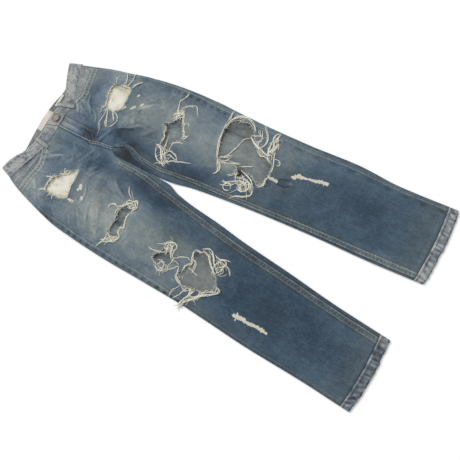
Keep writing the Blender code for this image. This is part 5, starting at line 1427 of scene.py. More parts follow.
def waistband():
    """One strip, from the right front end round the back to the left end, which laps over it."""
    right, back = band_rows(BAND_FRONTS["right"], 150), band_rows(BAND_BACK, 170)
    left = band_rows(BAND_FRONTS["left"], 150)
    angle = np.radians(np.linspace(90.0, -90.0, BEND_STEPS))[1:-1]
    middle, half = 0.5 * (BAND_TOP + BAND_BASE), 0.5 * (BAND_TOP - BAND_BASE)
    corners = []
    for end, sign in ((right[-1:], -1.0), (back[-1:], 1.0)):
        corner = np.repeat(end, len(angle), 0)
        corner[:, [0, 2]] += sign * FOLD_REACH * np.cos(angle)[:, None]
        corners.append(corner)
    rows = np.vstack([right, corners[0], back, corners[1], left])
    base = np.concatenate([np.full(len(right), BAND_TOP), middle + half * np.sin(angle),
                           np.full(len(back), BAND_BASE), middle - half * np.sin(angle),
                           BAND_TOP + band_lap(left[:, 2])])[:, None]
    x = mix(rows[:, 0:1], rows[:, 2:3], BAND_PLACES)
    down = mix(rows[:, 1:2], rows[:, 3:4], BAND_PLACES)
    at = np.concatenate([[0.0], np.cumsum(np.hypot(*(rows[1:, 2:] - rows[:-1, 2:]).T))])[:, None]
    at, across = at + 0.0 * BAND_PLACES, BAND_PLACES + 0.0 * at
    rise, tone = band_profile(x, across, at)
    upper = base > middle
    pleats = folds_along(BAND_PLEATS, x, down, 0.32)
    rise = np.where(upper, rise + MM * pleats, -np.clip(rise, -0.3 * MM, 0.3 * MM) * 0.5)
    inside = 0.50 + 0.15 * noise(at / 0.9, across * 3.0, 112) + 0.08 * bell(across - 0.1, 0.08) \
        - 0.05 * bell(across - 0.5, 0.3)
    # The pleats are painted paler on their ridges and darker in their troughs, as light and shade
    fields = {"wash_and_shade": tone + 0.14 * pleats, "inside": inside, "rust": rust_places(x, down) * upper}
    points = placed(None, x, down, base + rise)
    points[..., 2] = np.where(upper, points[..., 2], np.maximum(points[..., 2], BAND_BASE - 0.2 * MM))
    piece = grid_cloth("waistband_cloth", points, fields, BAND_WALL, [worn_denim, denim_inside],
                       turned=True)
    return shown(piece, "denim_worn", "waistband")


def band_seam(x):
    """How far down the waistband's seam is on the front."""
    table = sorted({(row[2], row[3]) for row in BAND_FRONTS["right"][2:] + BAND_FRONTS["left"][:-2]})
    return np.interp(x, *zip(*table))


FACING_DEPTH = 10.9


def pocket_facing(side):
    """The cloth that shows in the pocket's mouth, between the scoop and the waistband."""
    outward = OUTWARD[side]
    s, t = shares(34)[:, None], shares(46)[None, :]
    x = mix(outward * 18.0, outward * 7.0, t) + 0.0 * s
    for _ in range(4):
        down = mix(band_seam(x) + SEAM_GAP, FACING_DEPTH, s)
        x = mix(leg(side, "outseam", down), outward * 7.0, t)
    below = down - band_seam(x)
    tone = 0.66 + 0.07 * noise(x / 1.2, down / 1.0, 121) + 0.05 * noise(x / 0.5, down / 0.6, 122)
    # Painted shadow just below the waistband, deepest in the gap on the right, and painted shade beside the
    # scoop's edge
    tone = 0.10 + tone - (0.12 if side == "right" else 0.03) * bell(below, 0.3)
    d = nearest(SCOOPS[side], x, down)[0]
    tone = tone - 0.20 * bell(d, 0.3) + wash_and_shade(side, x, down) * 0.12
    if side == "right":
        tone = tone - 0.50 * bell(below - 0.25, 0.42) * bell((x + 11.8) / 1.8, 1.0)
    height = front_height(side, x, down) + MM * 0.15 * noise(x / 1.4, down / 1.2, 123)
    height = height - 1.5 * MM * (1.0 - ease((np.abs(x) - 7.3) / 1.2)) * ease((below - 0.2) / 0.5)
    height = height + 1.5 * MM * bell(below, 0.5) * (1.0 - 0.8 * bell((x + 11.8) / 2.0, 1.0))
    piece = grid_cloth("facing_" + side, placed(side, x, down, height), {"wash_and_shade": tone}, DENIM,
                       [worn_denim, denim_inside], turned=side == "right")
    return shown(piece, "denim_worn", "pocket_facing_" + side)


def coin_top(x):
    return np.interp(x, *zip(*COIN_POCKET[:4]))


def coin_height(x, down):
    share = down - coin_top(x)
    ridges = 0.5 * bell(share - 0.12, 0.14) * (1.0 + 0.3 * rope(x, down * 0.4, 125)) \
        + 0.3 * bell(share - 0.7, 0.14)
    return front_height("right", x, down) + LAYER + MM * (ridges + 0.1)


def coin_pocket():
    x = np.linspace(-16.1, -9.2, 34)[None, :] + np.zeros((26, 1))
    down = mix(coin_top(x), 10.8, shares(26)[:, None] ** 1.2)
    share = down - coin_top(x)
    tone = 0.68 + 0.07 * noise(x / 1.1, down / 0.9, 126) + 0.20 * bell(share - 0.12, 0.16) \
        - 0.16 * bell(share - 0.4, 0.14) + 0.12 * bell(share - 0.72, 0.14)
    # Painted shade beside the scoop's edge
    tone = tone - 0.18 * bell(nearest(SCOOPS["right"], x, down)[0], 0.28)
    piece = grid_cloth("coin_pocket_cloth", placed("right", x, down, coin_height(x, down)),
                       {"wash_and_shade": tone, "rust": rust_places(x, down)}, DENIM, [worn_denim, denim_inside],
                       turned=True)
    return shown(piece, "denim_worn", "coin_pocket")


# Painted shade on the pocket bags where they show, mostly along the rips' edges, and a small hole in the
# right
# bag painted dark: x, down, half width, half height, how much paler
BAG_PAINTED_SHADE = {
    "right": [
        (-9.8, 15.9, 0.6, 0.8, -0.75), (-8.8, 17.6, 0.9, 1.0, -0.24), (-15.4, 18.0, 0.6, 1.1, -0.24),
        (-13.0, 14.1, 2.2, 0.5, -0.2), (-11.2, 15.6, 0.7, 0.6, -0.2), (-12.6, 18.9, 2.4, 0.4, -0.12),
    ],
    "left": [
        (16.2, 17.0, 0.7, 2.8, -0.32), (10.5, 16.2, 0.6, 1.0, -0.3), (15.4, 15.0, 1.8, 0.5, -0.22),
        (11.0, 18.6, 0.8, 0.8, -0.14),
    ],
}


# How far down the pocket bags reach, and their folds
BAG_TOP = 6.7
BAG_END = 23.2
BAG_FOLDS = [(15.6, 13.8, 12.8, 19.6, 0.7), (13.4, 14.0, 11.6, 17.8, 0.5), (9.4, 16.4, 13.0, 18.8, 0.6),
             (16.2, 16.0, 14.6, 19.8, -0.6), (10.4, 15.0, 9.9, 19.2, 0.6)]


def pocket_bag(side):
    """The thin bag under a front, which shows in the hip's rip."""
    outward = OUTWARD[side]
    s, t = shares(62)[:, None], shares(46)[None, :]
    down = BAG_TOP + (BAG_END - BAG_TOP) * s + 0.0 * t
    corner = 1.5 * ease((s - 0.88) / 0.12) ** 2
    x = outward * mix(18.6 - corner - 1.4 * (1.0 - ease(s / 0.3)), 6.5 + corner, t)
    folds = folds_along([(outward * x1, d1, outward * x2, d2, rise) for x1, d1, x2, d2, rise in BAG_FOLDS],
                        x, down, 0.5)
    edge = torn_edge(side, x, down)
    # The folds are painted paler on their ridges and darker in their troughs, and the bag darker along the
    # rips' edges, as light and shade
    tone = 0.60 + 0.12 * folds + 0.08 * noise(x / 1.5, down / 1.5, 131) \
        + 0.06 * noise(x / 0.4, down / 0.5, 133) - 0.30 * bell(edge, 0.22)
    tone = patches(tone, BAG_PAINTED_SHADE[side], x, down)
    crumpled = bell(edge, 0.9) * np.clip(noise(x / 0.45, down / 0.45, 132) - 0.1, 0.0, 1.0)
    tone = tone - 0.5 * crumpled * (1.0 if side == "right" else 0.5)
    bulge = np.clip(folds, 0.0, 1.0) * ease((edge - 0.3) / 0.6) * within(TORN[side]["hip"], x, down)
    height = front_height(side, x, down) - LAYER - 0.05 * MM + MM * np.minimum(0.45 * folds - 0.35, 0.0) \
        + MM * 0.8 * bulge
    piece = grid_cloth("bag_" + side, placed(side, x, down, height), {"wash_and_shade": tone}, POCKETING,
                       [pocketing], turned=side == "right")
    return shown(piece, "pocketing", "pocket_bag_" + side)


def back_pocket(side):
    t = shares(24)[None, :]
    rows = np.linspace(9.0, 22.75, 30)[:, None]
    near = np.interp(rows, [9.0, 19.8, 22.8], [6.0, 6.8, 11.5])
    far = np.interp(rows, [9.0, 19.6, 22.8], [17.0, 16.6, 11.7])
    x = OUTWARD[side] * mix(far, near, t)
    down = rows + 0.6 * t * (1.0 - ease((rows - 9.0) / 4.0))
    edge = np.minimum(np.minimum(t, 1.0 - t) * (far - near), (rows - 9.0) + 0.0 * t)
    tone = 0.42 + 0.2 * bell(edge - 0.15, 0.2) - 0.1 * bell(edge - 0.5, 0.15) \
        + 0.05 * noise(x / 2.0, down / 2.0, 133)
    piece = grid_cloth("back_pocket_cloth_" + side, placed(side, x, down, 0.0), {"wash_and_shade": tone}, DENIM,
                       [denim, denim_inside], turned=side == "left")
    return shown(piece, "denim_back", "back_pocket_" + side)


LOOP_WIDTH = 1.2
FRONT_LOOPS = {"right": ((-5.5, 3.4), (-6.1, 7.7)), "left": ((5.0, 3.1), (6.5, 7.9))}
BACK_LOOPS = {"right": (-11.0, 2.2), "centre": (0.0, 1.5), "left": (11.0, 2.1)}


# Which columns of a strap's points are stitched
LOOP_STITCH_COLUMNS = (7, 1)

# Labels: name, x of both ends, and how far down their top and bottom are at three places; their tacks
LABELS = (("label_main", -3.25, 2.75, (1.85, 1.7, 1.8), (3.4, 3.42, 3.45)),
          ("label_small", 4.4, 8.1, (2.6, 2.62, 2.65), (3.4, 3.38, 3.35)))
LABEL_TACKS = ((-3.0, 2.6), (2.5, 2.6), (4.6, 3.0), (7.9, 3.0))


def strap_grid(top, bottom, rows):
    """A strap's points from its top to its bottom, and how far along and across it they are."""
    share, across = shares(rows)[:, None], np.linspace(0.5, -0.5, 9)[None, :]
    run = math.hypot(bottom[0] - top[0], bottom[1] - top[1])
    ux, ud = (bottom[0] - top[0]) / run, (bottom[1] - top[1]) / run
    x = mix(top[0], bottom[0], share) + across * LOOP_WIDTH * ud
    down = mix(top[1], bottom[1], share) - across * LOOP_WIDTH * ux
    return x, down, share + 0.0 * across, across + 0.0 * share


def loop_height(share, across):
    height = BAND_TOP + LAYER + 1.2 * MM * np.sin(math.pi * share) ** 0.7
    return height - 1.1 * MM * (bell(share, 0.05) + bell(share - 1.0, 0.05)) \
        - 0.5 * MM * (2.0 * np.abs(across)) ** 4 + 0.3 * MM * bell(np.abs(across) - 0.36, 0.08)


def belt_loops():
    made = []
    for side, (top, bottom) in FRONT_LOOPS.items():
        x, down, share, across = strap_grid(top, bottom, 26)
        # The dark lines along the loop's sides are painted shade
        tone = 0.92 + 0.12 * bell(np.abs(across) - 0.40, 0.06) - 0.34 * bell(np.abs(across) - 0.50, 0.05) \
            - 0.12 * bell(np.abs(across) - 0.24, 0.06) + 0.10 * noise(share * 6.0, across * 2.0, 141) \
            + 0.1 * bell(share, 0.06) + 0.1 * bell(share - 1.0, 0.06)
        piece = grid_cloth("loop_front_" + side, placed(None, x, down, loop_height(share, across)),
                           {"wash_and_shade": tone}, DENIM, [worn_denim, denim_inside])
        made.append(shown(piece, "denim_worn", "belt_loop_front_" + side))
    for side, (x0, top) in BACK_LOOPS.items():
        x, down, share, across = strap_grid((x0, top), (x0, top + 5.0), 20)
        tone = 0.6 + 0.2 * bell(np.abs(across) - 0.44, 0.08) - 0.14 * bell(np.abs(across) - 0.22, 0.07)
        piece = grid_cloth("loop_back_" + side, placed(None, x, down, 0.0), {"wash_and_shade": tone}, DENIM,
                           [denim, denim_inside], turned=True)
        made.append(shown(piece, "denim_worn", "belt_loop_back_" + side))
    return made


def labels():
    made = []
    s, t = shares(16)[:, None], shares(36)[None, :]
    for name, x0, x1, top, bottom in LABELS:
        x = mix(x0, x1, t) + 0.0 * s
        down = mix(np.interp(t, [0.0, 0.5, 1.0], top), np.interp(t, [0.0, 0.5, 1.0], bottom), s)
        edge = np.minimum(np.minimum(t, 1.0 - t) * (x1 - x0), np.minimum(s, 1.0 - s) * 1.6)
        puff = 0.5 * ease(edge / 0.25) + 0.18 * noise(x / 1.0, down / 0.8, 151)
        height = BAND_BASE + BAND_WALL + 0.3 * MM + 1.0 * MM + MM * (puff - 0.3)
        # The label's edges are painted darker as shade
        tone = 0.47 + 0.10 * noise(x / 1.2, down / 0.7, 152) - 0.25 * bell(edge, 0.06)
        piece = grid_cloth(name + "_cloth", placed(None, x, down, height), {"wash_and_shade": tone}, LABEL_WALL,
                           [label_cloth], turned=True)
        made.append(shown(piece, "label", name))
    return made


# ---------------------------------------------------------------- sewing

STITCH_FACES = np.array([(0, 1, 2, 2), (0, 2, 3, 3), (0, 3, 1, 1), (1, 4, 5, 2), (2, 5, 6, 3), (3, 6, 4, 1),
                         (4, 7, 8, 5), (5, 8, 9, 6), (6, 9, 7, 4), (10, 8, 7, 7), (10, 9, 8, 8),
                         (10, 7, 9, 9)])


def stitch_shapes(ends_a, ends_b):
    """One small padded stitch between each pair of points."""
    run = ends_b - ends_a
    across = np.stack([run[:, 1], -run[:, 0], 0.0 * run[:, 0]], -1)
    across *= 0.5 * STITCH_WIDTH / (np.linalg.norm(across, axis=1, keepdims=True) + 1e-9)
    up = np.array([0.0, 0.0, STITCH_RISE])
    verts = [ends_a - 0.4 * up]
    for along_share, full in zip((0.2, 0.5, 0.8), (0.8, 1.0, 0.8)):
        middle = ends_a + run * along_share
        verts += [middle + across * full - 0.3 * up, middle + up * full, middle - across * full - 0.3 * up]
    verts.append(ends_b - 0.4 * up)
    faces = STITCH_FACES[None] + len(verts) * np.arange(len(ends_a))[:, None, None]
    return np.stack(verts, 1).reshape(-1, 3), faces.reshape(-1, 4)


def stitched(name, groups, finish, pitch, length, seed):
    """Stitches in groups: the function for the points of their cloth, and lines of (x, down)."""
    rng = np.random.RandomState(seed)
    verts, faces, count = [], [], 0
    for surface, lines in groups:
        ends = ([], [])
        for line in lines:
            points, _, start = along(line)
            at = np.arange(0.5 * pitch, start[-1] - 0.5 * length, pitch) + rng.uniform(-0.02, 0.02)
            if start[-1] < 1.5 * pitch:
                at = np.array([0.5 * start[-1]])
            elif len(at):
                at = at[rng.uniform(size=len(at)) > 0.04]
            for shift, end in zip((-0.5, 0.5), ends):
                reach = at + shift * min(length, start[-1])
                x, down = np.interp(reach, start, points[:, 0]), np.interp(reach, start, points[:, 1])
                end.append(np.stack([x + rng.uniform(-0.015, 0.015, len(x)), down], -1))
        block, block_faces = stitch_shapes(*(surface(*np.vstack(end).T) for end in ends))
        verts.append(block)
        faces.append(block_faces + count)
        count += len(block)
    faces = [tuple(dict.fromkeys(face)) for face in np.vstack(faces).tolist()]
    return thread_mesh(name, np.vstack(verts), faces, finish)


def front_surface(side):
    """The finished top of a front panel, as points."""
    def surface(x, down):
        height = upper_height(side, x, down) + leg_seams(side, x, down)[0] + hip_seams(side, x, down)[0]
        return placed(side, x, down, height + 0.1 * MM)
    return surface


def plain_surface(height_of):
    """The points of a cloth whose height a function gives."""
    def surface(x, down):
        return placed(None, x, down, height_of(x, down))
    return surface


def hem_surface(side, first):
    """The finished top of a hem, as points."""
    def surface(x, down):
        points = placed(side, x, 0.0 * x + first, HEM_TOP + 0.35 * MM)
        points[..., 1] -= (down - first) * CM
        return points
    return surface


def offset_line(line, away):
    """A line moved to its own side."""
    points = np.asarray(line, float)
    tangent = np.gradient(points, axis=0)
    tangent /= np.linalg.norm(tangent, axis=1, keepdims=True)
    return points + away * np.stack([-tangent[:, 1], tangent[:, 0]], -1)


def outside_rips(side, line):
    """The stretches of a line that no rip has torn away."""
    gone = np.zeros(len(line), bool)
    for outline in TORN[side].values():
        gone |= within(outline, line[:, 0], line[:, 1])
    ends = np.flatnonzero(np.diff(gone.astype(int))) + 1
    stretches = zip(np.split(line, ends), np.split(gone, ends))
    return [stretch for stretch, lost in stretches if not lost[0] and len(stretch) > 3]


def leg_line(side, what, first, last):
    """A row of stitches down a leg, beside one of its seams."""
    down = np.arange(first, last, 0.4)
    if what == "second":
        x = leg(side, "inseam", down) + OUTWARD[side] * np.interp(down, *zip(*SECOND_ROW[side]))
    else:
        x = leg(side, what, down) + OUTWARD[side] * (-0.10 if what == "outseam" else 0.13)
    return np.stack([x, down], -1)


def bartack(x, down, angle, length=1.1, width=0.26, count=13):
    """Short stitches side by side that hold the end of a seam."""
    ux, ud = math.sin(math.radians(angle)), math.cos(math.radians(angle))
    lines = []
    for k in range(count):
        at = (k / (count - 1.0) - 0.5) * length
        px, pd = x + ux * at, down + ud * at
        lines.append([(px - ud * width, pd + ux * width), (px + ud * width, pd - ux * width)])
    return lines


def band_surface(x, down):
    top = np.where(x > -1.0, BAND_TOP + band_lap(x), BAND_TOP)
    return placed(None, x, down, top + 0.35 * MM)


def band_line(side, share, first, last):
    """A row of stitches along a stretch of the waistband's front."""
    rows = band_rows(BAND_FRONTS[side], 120)[int(first * 120):int(last * 120)]
    return np.stack([mix(rows[:, 0], rows[:, 2], share), mix(rows[:, 1], rows[:, 3], share)], -1)


def sew():
    """All the stitches, by the cloth that they belong to."""
    made = {}
    for side, outward in OUTWARD.items():
        surface = front_surface(side)
        first = HEMS[side][1] - HEM_DEPTH
        pale = [stretch for what, start in (("outseam", 8.8), ("inseam", 24.6), ("second", 25.4))
                for stretch in outside_rips(side, leg_line(side, what, start, first - 0.1))]
        pale += [offset_line(curved(SCOOPS[side]), -outward * away) for away in (0.24, 1.34)]
        if side == "left":
            pale += [[(0.42, 7.6), (0.40, 12.0), (0.40, 16.4)]] \
                + [offset_line(curved(CROTCH_SEAM), away) for away in (-0.28, -0.62)]
            rust = [curved(FLY_STITCH), curved(FLY_STITCH_INNER)] + bartack(0.75, 17.6, 20.0) \
                + bartack(2.3, 12.4, 90.0, 0.8) + bartack(*SCOOPS["left"][5], 30.0, 0.9)
        else:
            rust = bartack(*SCOOPS["right"][5], -40.0, 0.9) + bartack(-21.1, 17.2, 5.0, 1.2)
        made[side] = [stitched("seam_stitches_" + side, [(surface, pale)], sewing, 0.33, 0.25, 3),
                      stitched("rust_stitches_" + side, [(surface, rust)], rust_sewing, 0.30, 0.24, 5)]
    band_lines = [band_line(side, share, first, last) for side, first, last
                  in (("right", 0.2, 1.0), ("left", 0.0, 0.97)) for share in (0.15, 0.84)]
    line = [(x, coin_top(x) + 0.25) for x in np.linspace(-15.8, -9.4, 20)]
    waist = [(band_surface, band_lines), (plain_surface(lambda x, down: coin_height(x, down) + 0.15 * MM),
                                          [line, [(x, d + 0.55) for x, d in line]])]
    for top, bottom in FRONT_LOOPS.values():
        for column in LOOP_STITCH_COLUMNS:
            x, down, share, across = (part[:, column] for part in strap_grid(top, bottom, 40))
            lift = plain_surface(lambda px, pd, order=down, heights=loop_height(share, across):
                                 np.interp(pd, order, heights) + 0.1 * MM)
            waist.append((lift, [np.stack([x, down], -1)]))
    made["waist"] = stitched("waist_stitches", waist, sewing, 0.32, 0.24, 7)
    for side, outward in OUTWARD.items():
        first = HEMS[side][1] - HEM_DEPTH
        ends = (leg(side, "outer", first) - outward * 0.6, leg(side, "inner", first) + outward * 0.6)
        hems = [[(x, first + 0.5) for x in np.linspace(*ends, 60)]]
        for away in (0.3, 0.8):
            at = leg(side, "inseam", first) + outward * away
            hems += bartack(float(at), first + 0.9, 0.0, 1.0, 0.2, 9)
        made["hem_" + side] = stitched("hem_stitches_" + side, [(hem_surface(side, first), hems)], sewing,
                                       0.32, 0.25, 9)
    tack = plain_surface(lambda px, pd: 0.0 * px + BAND_BASE + BAND_WALL + 1.75 * MM)
    lines = [line for x, down in LABEL_TACKS for line in bartack(x, down, 0.0, 0.9, 0.05, 5)]
    made["label"] = stitched("label_stitches", [(tack, lines)], sewing, 0.1, 0.09, 11)
    return made


# ---------------------------------------------------------------- frayed threads

def tubes(paths, radii, sides):
    """Closed tubes along many paths of points, as one mesh's points and faces."""
    verts, faces, count = [], [], 0
    turn = 2.0 * math.pi * np.arange(sides) / sides
    for path, radius in zip(paths, radii):
        steps = len(path)
        tangent = np.gradient(path, axis=0)
        tangent /= np.linalg.norm(tangent, axis=1, keepdims=True) + 1e-12
        across = np.stack([tangent[:, 1], -tangent[:, 0], 0.0 * tangent[:, 0]], -1)
        size = np.linalg.norm(across, axis=1, keepdims=True)
        across = np.where(size > 0.05, across / (size + 1e-12), [[1.0, 0.0, 0.0]])
        up = np.cross(across, tangent)
        from_end = np.minimum(np.linspace(0, 1, steps), np.linspace(1, 0, steps))
        width = radius * np.minimum(1.0, 0.35 + 3.0 * from_end)
        ring = path[:, None] + width[:, None, None] * (across[:, None] * np.cos(turn)[None, :, None]
                                                       + up[:, None] * np.sin(turn)[None, :, None])
        verts.append(ring.reshape(-1, 3))
        base = count + sides * np.arange(steps - 1)[:, None]
        k = np.arange(sides)
        k1 = (k + 1) % sides
        walls = np.stack([base + k, base + k1, base + sides + k1, base + sides + k], -1)
        faces += walls.reshape(-1, 4).tolist()
        faces += [list(range(count + sides - 1, count - 1, -1)),
                  list(range(count + sides * (steps - 1), count + sides * steps))]
        count += sides * steps
    return np.vstack(verts), faces


def thread_mesh(name, verts, faces, finish, nodes=()):
    mesh = bpy.data.meshes.new(name)
    mesh.from_pydata(verts.tolist(), [], faces)
    mesh.polygons.foreach_set("use_smooth", [True] * len(mesh.polygons))
    mesh.materials.append(finish)
    piece = bpy.data.objects.new(name, mesh)
    bpy.context.scene.collection.objects.link(piece)
    return shown(piece, "frayed_thread", *nodes)


def lying_height(x, down):
    """Top of whatever a loose thread lies on: a panel, the bottom layer in a rip, or the floor."""
    best = np.zeros(x.shape)
    for side in LEGS:
        outward = OUTWARD[side]
        here = x * outward > -1.2
        px, pd = x[here], down[here]
        top = upper_height(side, px, pd) + leg_seams(side, px, pd)[0]
        for name, outline in TORN[side].items():
            hole = within(outline, px, pd)
            if name != "hip" and hole.any():
                hx, hd = px[hole], pd[hole]
                under = base_height(hd) + inner_side(side, hx, hd)[0] + DENIM
                d = nearest(outline[::2], hx, hd, closed=True)[0]
                top[hole] = mix(top[hole], under, ease((d - 0.1) / 1.0))
        inside = (leg(side, "outer", pd) - px) * outward
        best[here] = np.maximum(best[here], top * ease((inside + 0.3) / 0.5))
    return best


def laid_lines(lines, lifts, rng):
    """Threads' smooth lines over the cloth: each through a few (x, down) points, at a small lift."""
    places, rises, sizes = [], [], []
    for points, lift in zip(lines, lifts):
        line = np.array(curved(points, 8))
        at = along(line)[2]
        for axis in (0, 1):
            seed = rng.randint(300)
            line[:, axis] += YARN_WANDER * (noise(at / 0.9, 0.0, seed)
                                            + 0.5 * noise(at / 0.35, 0.0, seed + 1))
        rises.append(lift + MM * 0.45 * (1.0 + noise(at / 1.2, 0.0, rng.randint(300))))
        places.append(line)
        sizes.append(len(line))
    x, down = np.vstack(places).T
    points = placed(None, x, down, lying_height(x, down) + np.concatenate(rises))
    return np.split(points, np.cumsum(sizes)[:-1])


def wandering(x, down, heading, length, rng):
    """A loose thread that curls on its way, as (x, down) points. Heading 0 is down the leg."""
    points = [(x, down)]
    turning = rng.normal(0.0, YARN_CURL)
    for _ in range(max(4, int(length / YARN_STEP))):
        turning = 0.88 * turning + rng.normal(0.0, YARN_CURL * 0.45)
        heading += turning * YARN_STEP
        x, down = x + YARN_STEP * math.sin(heading), down + YARN_STEP * math.cos(heading)
        points.append((x, down))
    return points


def fringe(side, rng):
    """Short broken yarns round each rip, from its torn edge towards its middle."""
    lines, rises, radii = [], [], []
    steps = shares(6)
    for name, outline in TORN[side].items():
        points, _, start = along(outline, closed=True)
        turn = np.sign(np.sum(points[:-1, 0] * points[1:, 1] - points[1:, 0] * points[:-1, 1]))
        for at in np.arange(0.0, start[-1] - 0.5, FRINGE_SPACING):
            at = at + rng.uniform(0.0, 0.5) * FRINGE_SPACING
            x, ahead_x = np.interp([at, at + 0.4], start, points[:, 0])
            down, ahead_d = np.interp([at, at + 0.4], start, points[:, 1])
            size = math.hypot(ahead_x - x, ahead_d - down) + 1e-9
            tx, td = (ahead_x - x) / size, (ahead_d - down) / size
            length = 0.12 + rng.uniform(0.0, 1.0) ** 3.0 * LONGEST_FRINGE[name]
            u = length * steps - 0.15
            w = length * (rng.normal(0.0, 0.45) * steps + rng.normal(0.0, 0.35) * steps ** 2)
            lines.append(np.stack([x - turn * td * u + tx * w, down + turn * tx * u + td * w], -1))
            rises.append(MM * (0.15 + rng.uniform(0.0, 0.9) * np.sin(math.pi * steps ** 0.7)))
            radii.append(rng.uniform(0.2, 0.42) * MM)
    x, down = np.vstack(lines).T
    points = placed(side, x, down, lying_height(x, down) + np.concatenate(rises))
    return thread_mesh("torn_fringe_" + side, *tubes(np.split(points, len(lines)), radii, 3), frayed)


# The longest yarn of the fringe round each rip
LONGEST_FRINGE = {"hip": 0.9, "thigh": 0.7, "above_knee": 0.6, "knee": 0.7}

